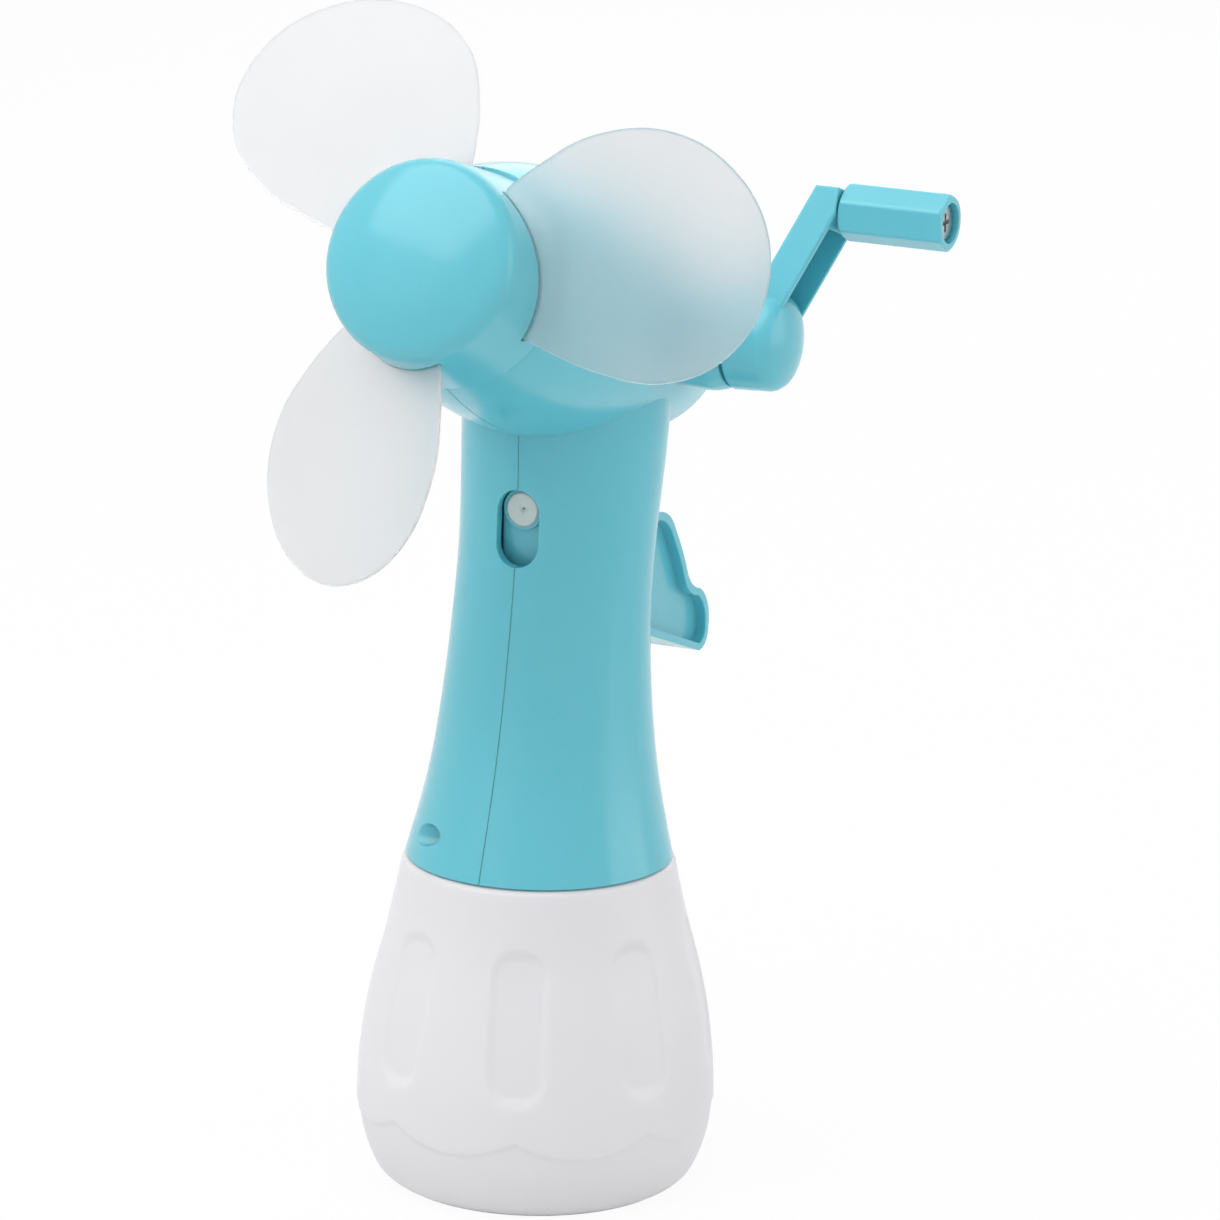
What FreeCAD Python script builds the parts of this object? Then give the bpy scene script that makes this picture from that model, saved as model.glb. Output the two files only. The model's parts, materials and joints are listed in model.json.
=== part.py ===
"""Crank-driven misting fan: a hand-turned three-bladed fan on a spray bottle.

Millimetres, +Z up.  The origin is the centre of the bottle's base.  The fan faces -Y,
the crank is on the +X side and the spray trigger is behind the grip, on +Y.
"""
import FreeCAD, Part
import math
import os
import Sketcher

Vector = FreeCAD.Vector
Rotation = FreeCAD.Rotation
Placement = FreeCAD.Placement

X_AXIS = Vector(1, 0, 0)
Y_AXIS = Vector(0, 1, 0)
Z_AXIS = Vector(0, 0, 1)

# ------------------------------------------------------------------ driving dimensions
DIMENSIONS = {
    # bottle
    "base_radius": 29.4, "base_edge_radius": 35.3, "base_edge_height": 3.8,
    "belly_radius": 38.6, "belly_height": 18, "flank_radius": 33.75, "flank_height": 52,
    "shoulder_radius": 29.4, "shoulder_height": 70.6, "bottle_wall": 1.8,
    "base_arc": 6.8, "belly_arc": 32, "flank_arc": 125, "upper_arc": 195, "step_depth": 0.45,
    "flute_count": 8, "flute_turn": 2.7, "flute_width": 13, "flute_low": 25.6,
    "flute_high": 60.5, "flute_depth": 0.8, "scallop_low": 15.2, "scallop_high": 19,
    "shoulder_edge": 1.1,
    "neck_radius": 12.6, "neck_bore": 10.8, "neck_top": 86, "neck_root": 71.7,
    "thread_crest": 13.7, "thread_pitch": 3.5, "thread_turns": 1.5, "thread_start": 77.5,
    "thread_half": 1.1, "thread_crest_half": 0.25, "thread_sunk": 0.4,
    # grip and head shells
    "wall": 2.2, "seam_gap": 0.12, "beyond_side": 30, "shell_foot": 40, "shell_top": 260,
    "head_tilt": 22, "rim_y": -40.8, "rim_z": 204.8, "front_gap": 1.2, "front_wall": 2.4,
    "egg_tilt": 18.6, "egg_rise": 0.5, "egg_front": 1.5,
    "head_front_radius": 21.9, "head_front_arc": 124.6, "head_radius": 28.2,
    "head_radius_at": 37.7, "head_back_arc": 180, "head_back_radius": 21, "head_back_at": 88,
    "head_length": 103.5,
    "nozzle_slot_width": 9.8, "nozzle_slot_low": 137.8, "nozzle_slot_high": 154.4,
    "nozzle_slot_front": 20, "nozzle_slot_back": 8,
    "trigger_slot_half": 10.9, "trigger_slot_low": 99.5, "trigger_slot_high": 143,
    "trigger_slot_front": 16, "trigger_slot_back": 45,
    "closure_rib_low": 81.4, "closure_rib_pitch": 5.8, "closure_rib": 2.4, "closure_rib_bore": 17.2,
    "guide_rib_low": 124, "guide_rib": 2.4, "guide_bore": 5.3, "guide_rib_back": 7,
    "post_radius": 3.4, "screw_head_hole": 2.55, "screw_seat": 6, "screw_hole": 1.45,
    "screw_pilot": 1.27, "screw_pilot_depth": 9, "screw_head_radius": 2.4,
    "screw_head_height": 1.8, "screw_shank": 1.25, "screw_reach": 8.5, "screw_seat_gap": 0.02,
    "cross_half": 0.35, "cross_reach": 1.5, "cross_floor": 7.1,
    # gear train
    "module": 1, "drive_teeth": 32, "idler_teeth": 12, "crown_teeth": 26, "fan_teeth": 10,
    "idler_at": 40.9, "pin_radius": 1.5, "idler_boss": 4, "idler_left_face": 12.4,
    "idler_right_face": 9.2, "running_gap": 0.06, "press_gap": 0.01,
    "gear_width": 4.5, "drive_gear_at": 3, "drive_hub_radius": 5.6, "drive_hub_left": 2,
    "drive_hub_right": 14.6, "crown_face": 2.6, "crown_plate": 2.8, "crown_floor_at": 6.2,
    "crown_tip_at": 4.05, "idler_gear_at": 2.6, "idler_gear_width": 5.4, "idler_sleeve": 3.4,
    "idler_end_gap": 0.4, "pinion_width": 4.6, "idler_pin_left": 18.9, "idler_pin_right": 16.9,
    "fan_shaft_radius": 2, "fan_shaft_front": 17, "bush_radius": 5, "front_bush_length": 8.5,
    "rear_bush_at": 23.6, "rear_bush_length": 3.4, "bulkhead_thick": 2.8, "fan_shaft_end": 30.5,
    "fan_bore_depth": 30, "washer_thick": 0.6, "fan_washer_radius": 4.2, "collar_radius": 4,
    "collar_at": 10, "collar_width": 3.2, "crank_washer_radius": 4.6, "crank_shaft_left": 19.8,
    "crank_shaft_right": 43.4, "crank_bore_start": 14, "crank_boss_round": 12,
    "front_bearing_radius": 8, "crank_left_boss": 5.5, "crank_left_face": 11.5,
    "gear_line": 11.5, "crank_shaft_radius": 2.5, "crank_boss_radius": 11.6,
    "crank_boss_start": 18.4, "crank_boss_shoulder": 30.2, "crank_boss_end": 35.4,
    "crank_boss_end_radius": 10.4,
    # crank
    "crank_hub_radius": 10.75, "crank_hub_start": 36, "crank_hub_end": 43.6,
    "crank_hub_end_radius": 10.4, "crank_dome_end": 48.7, "crank_hub_round": 3.8,
    "crank_crown_radius": 8, "crank_crown_rise": 1.5,
    "knob_y": 28.6, "knob_z": 212.5, "arm_lean": 22.5, "arm_width": 12.8, "arm_thick": 7.2,
    "arm_outer_face": 43.85, "arm_shift": 0.4, "arm_tail": 4.1, "arm_rim": 1.3,
    "arm_channel_depth": 5.4, "arm_round": 0.6, "channel_start": 1, "channel_end": 6,
    "hub_edge": 0.6, "socket_start": 33.5, "post_start": 50, "knob_clear": 0.3,
    "knob_start": 55.6, "knob_end": 79, "knob_corner_radius": 6.3, "knob_post": 3,
    "knob_recess": 4.3, "knob_recess_depth": 3, "knob_screw_head": 3.5, "knob_round": 1,
    "knob_end_round": 1.2, "knob_screw_radius": 1.4, "knob_screw_length": 13.5,
    "knob_screw_height": 1.7, "knob_screw_gap": 0.05, "knob_cross_floor": 76.7,
    "knob_cross_reach": 2, "knob_cross_half": 0.45,
    # fan
    "hub_rim_radius": 22.8, "hub_shoulder_radius": 21.2, "hub_shoulder_at": 17.9,
    "hub_round": 5.1, "hub_crown_radius": 18.4, "hub_crown_at": 22.2, "hub_length": 26.6,
    "hub_wall": 1.6, "hub_boss": 8.6, "hub_boss_end": 21.5, "cap_sleeve_end": 24.6,
    "blade_plane_at": 14.1, "hub_crown_inset": 0.6, "hub_inner_round": 4.1, "sleeve_play": 0.05,
    "sleeve_wall": 1.55, "sleeve_start": 18.5, "hub_heel_radius": 4.2, "hub_heel": 0.3,
    "hub_plate_radius": 19.8, "hub_plate_back": 0.6, "hub_plate_front": 2.2, "hub_socket": 17.2,
    "seat_at": 8.3, "seat_length": 5.5, "seat_width": 9.5, "seat_height": 5,
    "slit_play": 0.25, "slit_spread": 1.03, "grip_play": 0.04,
    "blade_phase": 38.1, "blade_pitch": 23.8, "blade_sweep": 29, "blade_thick": 1,
    # trigger and pump
    "pivot_y": -5.5, "pivot_z": 161, "trigger_half": 10, "trigger_arm_half": 5,
    "trigger_hollow": 2.4, "trigger_pin_half": 13.9, "nose_above": 1.5, "nose_round": 1.62,
    "trigger_boss": 4, "boss_face": 7.4, "pivot_half": 7, "pivot_radius": 3.4,
    "actuator_top": 156.5, "actuator_ledge": 145.4, "actuator_radius": 8.6,
    "actuator_tube": 5, "actuator_bottom": 103, "actuator_neck": 7, "actuator_neck_low": 136,
    "actuator_shelf": 12.4, "shelf_half": 6, "shelf_thick": 5,
    "apron_half": 5, "apron_front": 9.3, "apron_low": 134,
    "nozzle_z": 149.8, "nozzle_face_y": -10.7, "nozzle_radius": 3.8, "nozzle_length": 3.1,
    "nozzle_wall": 0.7, "nozzle_proud": 0.4, "nozzle_dish": 0.9, "nozzle_dish_depth": 0.35,
    "spray_hole": 0.25, "nozzle_chamber": 2, "nozzle_chamber_at": 1.8,
    "closure_radius": 16.2, "closure_bore": 13.95, "closure_bottom": 73.4, "closure_top": 91.2,
    "closure_flange": 19.6, "closure_flange_low": 84, "closure_flange_high": 87,
    "closure_lid": 2.2, "closure_mouth": 7.4, "gasket_thick": 1.4, "gasket_radius": 13.6,
    "pump_flange": 13.2, "pump_flange_thick": 1.6, "pump_radius": 6, "pump_bore": 4.6,
    "pump_bottom": 60, "pump_floor": 3, "pump_tail": 3, "pump_tail_end": 50, "pump_taper": 2,
    "dip_socket": 4, "inlet_radius": 0.9, "inlet_seat": 0.6, "ball_well": 1.7,
    "ball_well_floor": 0.4, "ball_at": 1.3, "collar_ring": 7.2, "collar_ring_above": 1.2,
    "collar_top_radius": 5.6, "collar_top_above": 2.2, "stem_radius": 2.2, "stem_bore": 1,
    "stem_top": 118, "stem_below": 0.5, "piston_bottom": 73, "piston_top": 79,
    "piston_waist": 3.9, "piston_lip": 0.8, "piston_land": 2, "spring_seat": 63,
    "spring_radius": 3.5, "spring_wire": 0.35, "spring_turns": 6, "seat_gap": 0.05,
    "ball_radius": 1.5, "dip_radius": 1.8, "dip_bore": 1.2, "dip_bottom": 5,
}

doc = FreeCAD.newDocument("misting_fan")
sheet = doc.addObject("Spreadsheet::Sheet", "Sizes")
for row, (word, number) in enumerate(DIMENSIONS.items(), start=1):
    sheet.set(f"A{row}", word)
    sheet.set(f"B{row}", str(number))
    sheet.setAlias(f"B{row}", word)
doc.recompute()


class Size:
    """A number with the formula of sheet cells that it comes from."""

    def __init__(self, value, text):
        self.value = float(value)
        self.text = text

    def __float__(self):
        return self.value

    def __add__(self, other):
        other = as_size(other)
        return Size(self.value + other.value, f"({self.text} + {other.text})")

    def __sub__(self, other):
        other = as_size(other)
        return Size(self.value - other.value, f"({self.text} - {other.text})")

    def __mul__(self, other):
        other = as_size(other)
        return Size(self.value * other.value, f"({self.text} * {other.text})")

    def __truediv__(self, other):
        other = as_size(other)
        return Size(self.value / other.value, f"({self.text} / {other.text})")

    def __neg__(self):
        return Size(-self.value, f"(0 - {self.text})")

    __radd__ = __add__
    __rmul__ = __mul__

    def __rsub__(self, other):
        return as_size(other) - self


def as_size(number):
    """Wrap a plain number, such as a clearance, as a Size."""
    return number if isinstance(number, Size) else Size(number, f"{float(number):.4f}")


def cos_of(angle):
    return Size(math.cos(math.radians(float(angle))), f"cos({angle.text} * 1 deg)")


def sin_of(angle):
    return Size(math.sin(math.radians(float(angle))), f"sin({angle.text} * 1 deg)")


class Sizes:
    """Sheet cells by name: d.wall is the cell called wall."""

    def __getattr__(self, word):
        return Size(sheet.get(word), f"{sheet.Name}.{word}")


d = Sizes()

# ------------------------------------------------------------------ building helpers
subparts = []


def keep(feature, label):
    """Name a finished sub-part and put it on the list that is written out."""
    feature.Label = label
    subparts.append(feature)
    return feature


def bind(feature, field, size):
    """Tie one field of a feature to the sheet."""
    size = as_size(size)
    feature.setExpression(field, size.text)


def place(feature, x=0, y=0, z=0, turn=None):
    """Set a placement: a rotation, and a position tied to the sheet."""
    feature.Placement = Placement(Vector(float(x), float(y), float(z)), turn or Rotation())
    for axis, size in zip("xyz", (x, y, z)):
        bind(feature, f"Placement.Base.{axis}", size)
    return feature


HEAD_TURN = Rotation(X_AXIS, 90 - float(d.head_tilt))
ALONG_X = Rotation(Y_AXIS, 90)
ALONG_BACK = Rotation(X_AXIS, -90)


def head_point(behind, above=0):
    """y and z of a point of the head: distance behind the hub's rim, and above the axis."""
    y = d.rim_y + cos_of(d.head_tilt) * behind + sin_of(d.head_tilt) * above
    z = d.rim_z - sin_of(d.head_tilt) * behind + cos_of(d.head_tilt) * above
    return y, z


def on_head_axis(feature, ahead=0):
    """Stand a feature made along Z on the fan's axis, ahead of the hub's rim."""
    y, z = head_point(-as_size(ahead))
    return place(feature, 0, y, z, HEAD_TURN)


def across(feature, x, y, z):
    """Turn a feature made along Z to run along +X from the point given."""
    return place(feature, x, y, z, ALONG_X)


def origin_plane(body, role):
    return next(item for item in body.Origin.OriginFeatures if item.Role == role)


def new_body(name):
    return doc.addObject("PartDesign::Body", name)


def body_sketch(body, name, role="XZ_Plane"):
    sketch = body.newObject("Sketcher::SketchObject", name)
    sketch.AttachmentSupport = (origin_plane(body, role), "")
    sketch.MapMode = "FlatFace"
    return sketch


def arc_middle(start, end, radius):
    """Middle of the arc from start to end; a positive radius bulges to the left."""
    chord = end - start
    half = chord.Length / 2
    rise = abs(radius) - math.sqrt(max(radius * radius - half * half, 0))
    left = Vector(-chord.y, chord.x, 0).normalize()
    return (start + end) / 2 + left * math.copysign(rise, radius)


def fix_point(sketch, curve, end, across_size, up_size):
    """Hold one end of a curve at its place, tied to the sheet."""
    for kind, axis, size in (("DistanceX", -2, across_size), ("DistanceY", -1, up_size)):
        if not isinstance(size, Size) and size == 0:
            sketch.addConstraint(Sketcher.Constraint("PointOnObject", curve, end, axis))
            continue
        size = as_size(size)
        index = sketch.addConstraint(Sketcher.Constraint(kind, -1, 1, curve, end, size.value))
        sketch.setExpression(f"Constraints[{index}]", size.text)


def draw_outline(sketch, points):
    """Closed outline.  A point is (across, up), or (across, up, radius) after an arc."""
    ends = [Vector(float(point[0]), float(point[1]), 0) for point in points]
    first = sketch.GeometryCount
    count = len(points)
    for index, point in enumerate(points):
        start, end = ends[index - 1], ends[index]
        if len(point) == 3:
            middle = arc_middle(start, end, float(point[2]))
            clockwise = float(point[2]) > 0
            ends_of_arc = (end, start) if clockwise else (start, end)
            sketch.addGeometry(Part.Arc(ends_of_arc[0], middle, ends_of_arc[1]), False)
        else:
            sketch.addGeometry(Part.LineSegment(start, end), False)
    start_of, end_of = [], []
    for index in range(count):
        curve = sketch.Geometry[first + index]
        forward = (curve.StartPoint - ends[index - 1]).Length < 1e-6
        start_of.append(1 if forward else 2)
        end_of.append(2 if forward else 1)
    for index, point in enumerate(points):
        follower = (index + 1) % count
        sketch.addConstraint(Sketcher.Constraint(
            "Coincident", first + index, end_of[index], first + follower, start_of[follower]))
        fix_point(sketch, first + index, end_of[index], point[0], point[1])
        if len(point) == 3:
            radius = as_size(point[2])
            size = radius if radius.value > 0 else -radius
            where = sketch.addConstraint(
                Sketcher.Constraint("Radius", first + index, size.value))
            sketch.setExpression(f"Constraints[{where}]", size.text)


def draw_circle(sketch, x, y, radius):
    circle = Part.Circle(Vector(float(x), float(y), 0), Z_AXIS, float(radius))
    index = sketch.addGeometry(circle, False)
    fix_point(sketch, index, 3, x, y)
    where = sketch.addConstraint(Sketcher.Constraint("Radius", index, float(radius)))
    sketch.setExpression(f"Constraints[{where}]", as_size(radius).text)


def turned(name, outline):
    """Body of revolution about its own Z from an outline of (radius, height) points."""
    body = new_body(name)
    sketch = body_sketch(body, f"{name}_profile")
    draw_outline(sketch, outline)
    spin = body.newObject("PartDesign::Revolution", f"{name}_turned")
    spin.Profile = sketch
    spin.ReferenceAxis = (sketch, ["V_Axis"])
    spin.Angle = 360
    sketch.Visibility = False
    return body


def tube(name, inner, outer, low, high):
    """Plain ring or, with no inner radius, plain rod."""
    return turned(name, [(inner, low), (outer, low), (outer, high), (inner, high)])


def pad(body, sketch, name, length, reverse=False, middle=False):
    feature = body.newObject("PartDesign::Pad", name)
    feature.Profile = sketch
    feature.Reversed = reverse
    if middle:
        feature.Midplane = True
    bind(feature, "Length", length)
    return feature


def pocket(body, sketch, name, length, reverse=False):
    feature = body.newObject("PartDesign::Pocket", name)
    feature.Profile = sketch
    feature.Reversed = reverse
    bind(feature, "Length", length)
    return feature


def rod(name, radius, length, x=0, y=0, z=0, turn=None):
    """Plain cylinder from the point given, along Z or as turned."""
    feature = doc.addObject("Part::Cylinder", name)
    bind(feature, "Radius", radius)
    bind(feature, "Height", length)
    return place(feature, x, y, z, turn)


def block(name, low, high):
    """Plain box between two corners."""
    feature = doc.addObject("Part::Box", name)
    low = [as_size(size) for size in low]
    high = [as_size(size) for size in high]
    for field, start, end in zip(("Length", "Width", "Height"), low, high):
        bind(feature, field, end - start)
    return place(feature, *low)


def join(name, pieces):
    feature = doc.addObject("Part::MultiFuse", name)
    feature.Shapes = pieces
    return feature


def overlap(name, pieces):
    feature = doc.addObject("Part::MultiCommon", name)
    feature.Shapes = pieces
    return feature


def cut(name, base, tool):
    feature = doc.addObject("Part::Cut", name)
    feature.Base = base
    feature.Tool = tool
    return feature


def shaped(name, shape, placement=None):
    """Sub-part whose shape is made with Part's own functions."""
    feature = doc.addObject("Part::Feature", name)
    feature.Shape = shape
    feature.Placement = placement or Placement()
    return feature


TIP = 0.5
# a cutter reaches this far past a face, and this far when it only has to clear the object
PAST = 1
FAR = 90
# parts of one body that touch keep this play
TOUCH = 0.1


def crown_arc(radius, rise):
    """Radius of the arc that closes a dome: level where it meets the small flat at the tip."""
    reach = as_size(radius) - TIP
    return (reach * reach + rise * rise) / (rise * 2)


# ------------------------------------------------------------------ bottle
def bottle_outline(inset, bottom):
    """Points of the bottle's wall, pulled in by inset, from the height bottom upwards."""
    return [
        (d.base_radius - inset, bottom),
        (d.base_edge_radius - inset, d.base_edge_height + bottom, -d.base_arc),
        (d.belly_radius - inset, d.belly_height, -d.belly_arc),
        (d.flank_radius - inset, d.flank_height, -d.flank_arc),
        (d.shoulder_radius - inset, d.shoulder_height, d.upper_arc),
    ]


def make_bottle():
    """Blown bottle: fluted belly, scalloped step round the foot and a threaded neck."""
    wall = d.bottle_wall
    outer = turned("bottle_outer", bottle_outline(0, 0) + [
        (d.shoulder_radius - d.shoulder_edge, d.neck_root), (d.neck_radius, d.neck_root),
        (d.neck_radius, d.neck_top), (0, d.neck_top), (0, 0)])
    hollow = turned("bottle_hollow", bottle_outline(wall, wall) + [
        (d.shoulder_radius - wall - d.shoulder_edge, d.neck_root - wall),
        (d.neck_bore, d.neck_root - wall), (d.neck_bore, d.neck_top + PAST),
        (0, d.neck_top + PAST), (0, wall)])
    # the step: everything under a ring of eight arcs stands back a little
    count = int(float(d.flute_count))
    half_step = 180 / count
    first = -float(d.flute_turn)
    reach = float(d.belly_radius) * math.sin(math.radians(half_step))
    sag = d.scallop_high - d.scallop_low
    scallop = (reach * reach + sag * sag) / (2 * sag)
    arcs = []
    for index in range(count):
        turn = Rotation(Z_AXIS, 90 + first + half_step * 2 * index) * ALONG_X
        arcs.append(rod(f"scallop_{index}", scallop, FAR, 0, 0, d.scallop_low + scallop, turn))
    above = rod("above_scallops", FAR, FAR, 0, 0, d.scallop_high + PAST / 2)
    proud_zone = join("proud_zone", arcs + [above])
    foot = rod("foot_zone", FAR, d.scallop_high + PAST)
    foot_band = cut("foot_band", foot, proud_zone)
    core = turned("foot_core", bottle_outline(d.step_depth, 0) + [
        (0, d.shoulder_height), (0, 0)])
    step = cut("foot_step", foot_band, core)
    # flutes: shallow stadiums that follow the flank
    middle = (d.flute_low + d.flute_high) / 2
    half = float(d.flute_high - d.flute_low - d.flute_width) / 2
    radius = float(d.flute_width) / 2
    stadium = Part.makeBox(2 * radius, 2 * half, FAR, Vector(-radius, -half, 0)).fuse(
        [Part.makeCylinder(radius, FAR, Vector(0, side * half, 0)) for side in (-1, 1)])
    prisms = []
    for index in range(count):
        turn = Rotation(Z_AXIS, first + half_step * (2 * index + 1)) * Rotation(X_AXIS, 90)
        prisms.append(shaped(f"flute_{index}", stadium.removeSplitter(),
                             Placement(Z_AXIS * float(middle), turn)))
    flute_core = turned("flute_core", bottle_outline(d.flute_depth, 0) + [
        (0, d.shoulder_height), (0, 0)])
    flutes = cut("flutes", join("flute_prisms", prisms), flute_core)
    tools = join("bottle_cuts", [hollow, step, flutes])
    return keep(cut("bottle_body", join("bottle_threaded", [outer, neck_thread()]), tools),
                "bottle")


def neck_thread():
    """Right-hand ridge round the neck: a triangle swept along a helix."""
    root = float(d.neck_radius - d.thread_sunk)
    crest = float(d.thread_crest)
    half = float(d.thread_half)
    flat = float(d.thread_crest_half)
    helix = Part.makeHelix(
        float(d.thread_pitch), float(d.thread_pitch) * float(d.thread_turns), root)
    corners = [Vector(root, 0, -half), Vector(crest, 0, -flat), Vector(crest, 0, flat),
               Vector(root, 0, half), Vector(root, 0, -half)]
    profile = Part.makePolygon(corners)
    ridge = Part.Wire(helix).makePipeShell([profile], True, True)
    return shaped("neck_thread", ridge, Placement(Vector(0, 0, float(d.thread_start)), Rotation()))


# ------------------------------------------------------------------ grip and head shells
# height, middle of the section in y, half width in x, half depth in y
GRIP_SECTIONS = [
    (72, 0, 28.7, 28.65),
    (79, 0.5, 27.0, 26.95),
    (88, 1.3, 25.0, 24.9),
    (104, 2.4, 22.9, 21.8),
    (120, 3.7, 21.7, 20.0),
    (140, 6.4, 21.2, 20.0),
    (162, 9.1, 22.0, 21.9),
    (178, 11.0, 23.0, 22.9),
]


def grip_loft(name, inset, stretch):
    """Solid through the grip's oval sections, pulled in by inset."""
    ovals = []
    for index, (height, middle, half_width, half_depth) in enumerate(GRIP_SECTIONS):
        oval = doc.addObject("Part::Ellipse", f"{name}_{index}")
        bind(oval, "MajorRadius", half_width - as_size(inset))
        bind(oval, "MinorRadius", half_depth - as_size(inset))
        lower = stretch if index == 0 else 0
        place(oval, 0, middle, height - lower)
        ovals.append(oval)
    loft = doc.addObject("Part::Loft", name)
    loft.Sections = ovals
    loft.Solid = True
    loft.Ruled = False
    return loft


def head_egg(name, inset, front):
    """Egg-shaped head, pulled in by inset, cut square to the fan's axis at front.

    The egg lies a little flatter than the fan's axis."""
    back_radius = d.head_back_radius - inset * 0.96
    back_at = d.head_back_at - inset * 0.28
    length = d.head_length - inset
    body = turned(f"{name}_egg", [
        (0, d.egg_front), (d.head_front_radius - inset, d.egg_front),
        (d.head_radius - inset, -d.head_radius_at, d.head_front_arc - inset),
        (back_radius, -back_at, d.head_back_arc - inset),
        (TIP, -length, crown_arc(back_radius, length - back_at)),
        (0, -length),
    ])
    y, z = head_point(0, d.egg_rise)
    place(body, 0, y, z, Rotation(X_AXIS, 90 - float(d.egg_tilt)))
    y, z = head_point(front)
    return cut(name, body, rod(f"{name}_front", d.beyond_side, 20, 0, y, z, HEAD_TURN))


def screw_places():
    """y and z of the six screws that hold the shells together."""
    return [
        (as_size(-21), as_size(78.7)),
        (as_size(22.4), as_size(76)),
        (as_size(26), as_size(160)),
        head_point(14, 16),
        head_point(14, -16),
        (as_size(42), as_size(178)),
    ]


def crank_point():
    """y and z of the crank's axis: one gear pair behind the idler."""
    idler_y, idler_z = head_point(d.idler_at)
    reach = d.module * (d.drive_teeth + d.idler_teeth) / 2
    return idler_y + cos_of(d.gear_line) * reach, idler_z - sin_of(d.gear_line) * reach


def shell_inside():
    """Posts, bosses, bulkheads and ribs before they are trimmed to the shell."""
    pieces = []
    side = d.beyond_side
    for index, (y, z) in enumerate(screw_places()):
        pieces.append(rod(f"post_{index}", d.post_radius, side * 2, -side, y, z, ALONG_X))
    idler_y, idler_z = head_point(d.idler_at)
    crank_y, crank_z = crank_point()
    for name, radius, y, z, left, right in (
            ("idler_boss", d.idler_boss, idler_y, idler_z, d.idler_left_face, d.idler_right_face),
            ("trigger_boss", d.trigger_boss, d.pivot_y, d.pivot_z, d.boss_face, d.boss_face)):
        pieces.append(rod(f"{name}_left", radius, side - left, -side, y, z, ALONG_X))
        pieces.append(rod(f"{name}_right", radius, side - right, right, y, z, ALONG_X))
    pieces.append(rod("crank_boss_left", d.crank_left_boss, side - d.crank_left_face, -side,
                      crank_y, crank_z, ALONG_X))
    y, z = head_point(d.front_gap + d.front_bush_length)
    pieces.append(rod("front_bearing", d.front_bearing_radius, d.front_bush_length, 0, y, z,
                      HEAD_TURN))
    y, z = head_point(d.rear_bush_at)
    pieces.append(rod("rear_bearing", side, d.bulkhead_thick, 0, y, z, HEAD_TURN))
    for index in range(2):
        low = d.closure_rib_low + d.closure_rib_pitch * index
        pieces.append(cut(
            f"closure_rib_{index}", rod(f"rib_disc_{index}", side, d.closure_rib, 0, 0, low),
            rod(f"rib_hole_{index}", d.closure_rib_bore, d.closure_rib, 0, 0, low)))
    low = d.guide_rib_low
    pieces.append(cut("guide_rib", block("guide_plate", (-side, -side, low),
                                         (side, d.guide_rib_back, low + d.guide_rib)),
                      rod("guide_hole", d.guide_bore, d.guide_rib, 0, 0, low)))
    return join("shell_fittings", pieces)


def shell_cuts():
    """Everything bored or slotted in the closed shell."""
    tools = []
    half = d.nozzle_slot_width / 2
    front, back = d.nozzle_slot_front, d.nozzle_slot_back
    tools.append(block("slot_middle", (-half, -front, d.nozzle_slot_low + half),
                       (half, -back, d.nozzle_slot_high - half)))
    for index, height in enumerate((d.nozzle_slot_low + half, d.nozzle_slot_high - half)):
        tools.append(rod(f"slot_end_{index}", half, front - back, 0, -front, height, ALONG_BACK))
    side = d.trigger_slot_half
    tools.append(block("trigger_slot", (-side, d.trigger_slot_front, d.trigger_slot_low),
                       (side, d.trigger_slot_back, d.trigger_slot_high)))
    seat, side = d.screw_seat, d.beyond_side
    for index, (y, z) in enumerate(screw_places()):
        tools.append(rod(f"head_hole_{index}", d.screw_head_hole, side - seat, -side, y, z,
                         ALONG_X))
        tools.append(rod(f"shank_hole_{index}", d.screw_hole, seat + PAST, -seat - PAST, y, z,
                         ALONG_X))
        tools.append(rod(f"pilot_hole_{index}", d.screw_pilot, d.screw_pilot_depth, -d.seam_gap,
                         y, z, ALONG_X))
    idler_y, idler_z = head_point(d.idler_at)
    crank_y, crank_z = crank_point()
    pin_bore = d.pin_radius + d.press_gap
    bush_bore = d.bush_radius + d.press_gap
    for name, radius, left, right, y, z in (
            ("idler_bore", pin_bore, d.idler_pin_left, d.idler_pin_right, idler_y, idler_z),
            ("trigger_pin_bore", pin_bore, d.trigger_pin_half, d.trigger_pin_half, d.pivot_y,
             d.pivot_z),
            ("crank_bore_left", d.crank_shaft_radius + d.running_gap, d.crank_shaft_left,
             -d.crank_left_face / 2, crank_y, crank_z),
            ("crank_bush_bore", bush_bore, -d.crank_bore_start, d.crank_boss_end + PAST,
             crank_y, crank_z)):
        tools.append(rod(name, radius, left + right + TOUCH * 2, -left - TOUCH, y, z, ALONG_X))
    y, z = head_point(d.fan_bore_depth)
    tools.append(rod("fan_bush_bore", bush_bore, d.fan_bore_depth + PAST, 0, y, z, HEAD_TURN))
    return join("shell_tools", tools)


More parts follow.
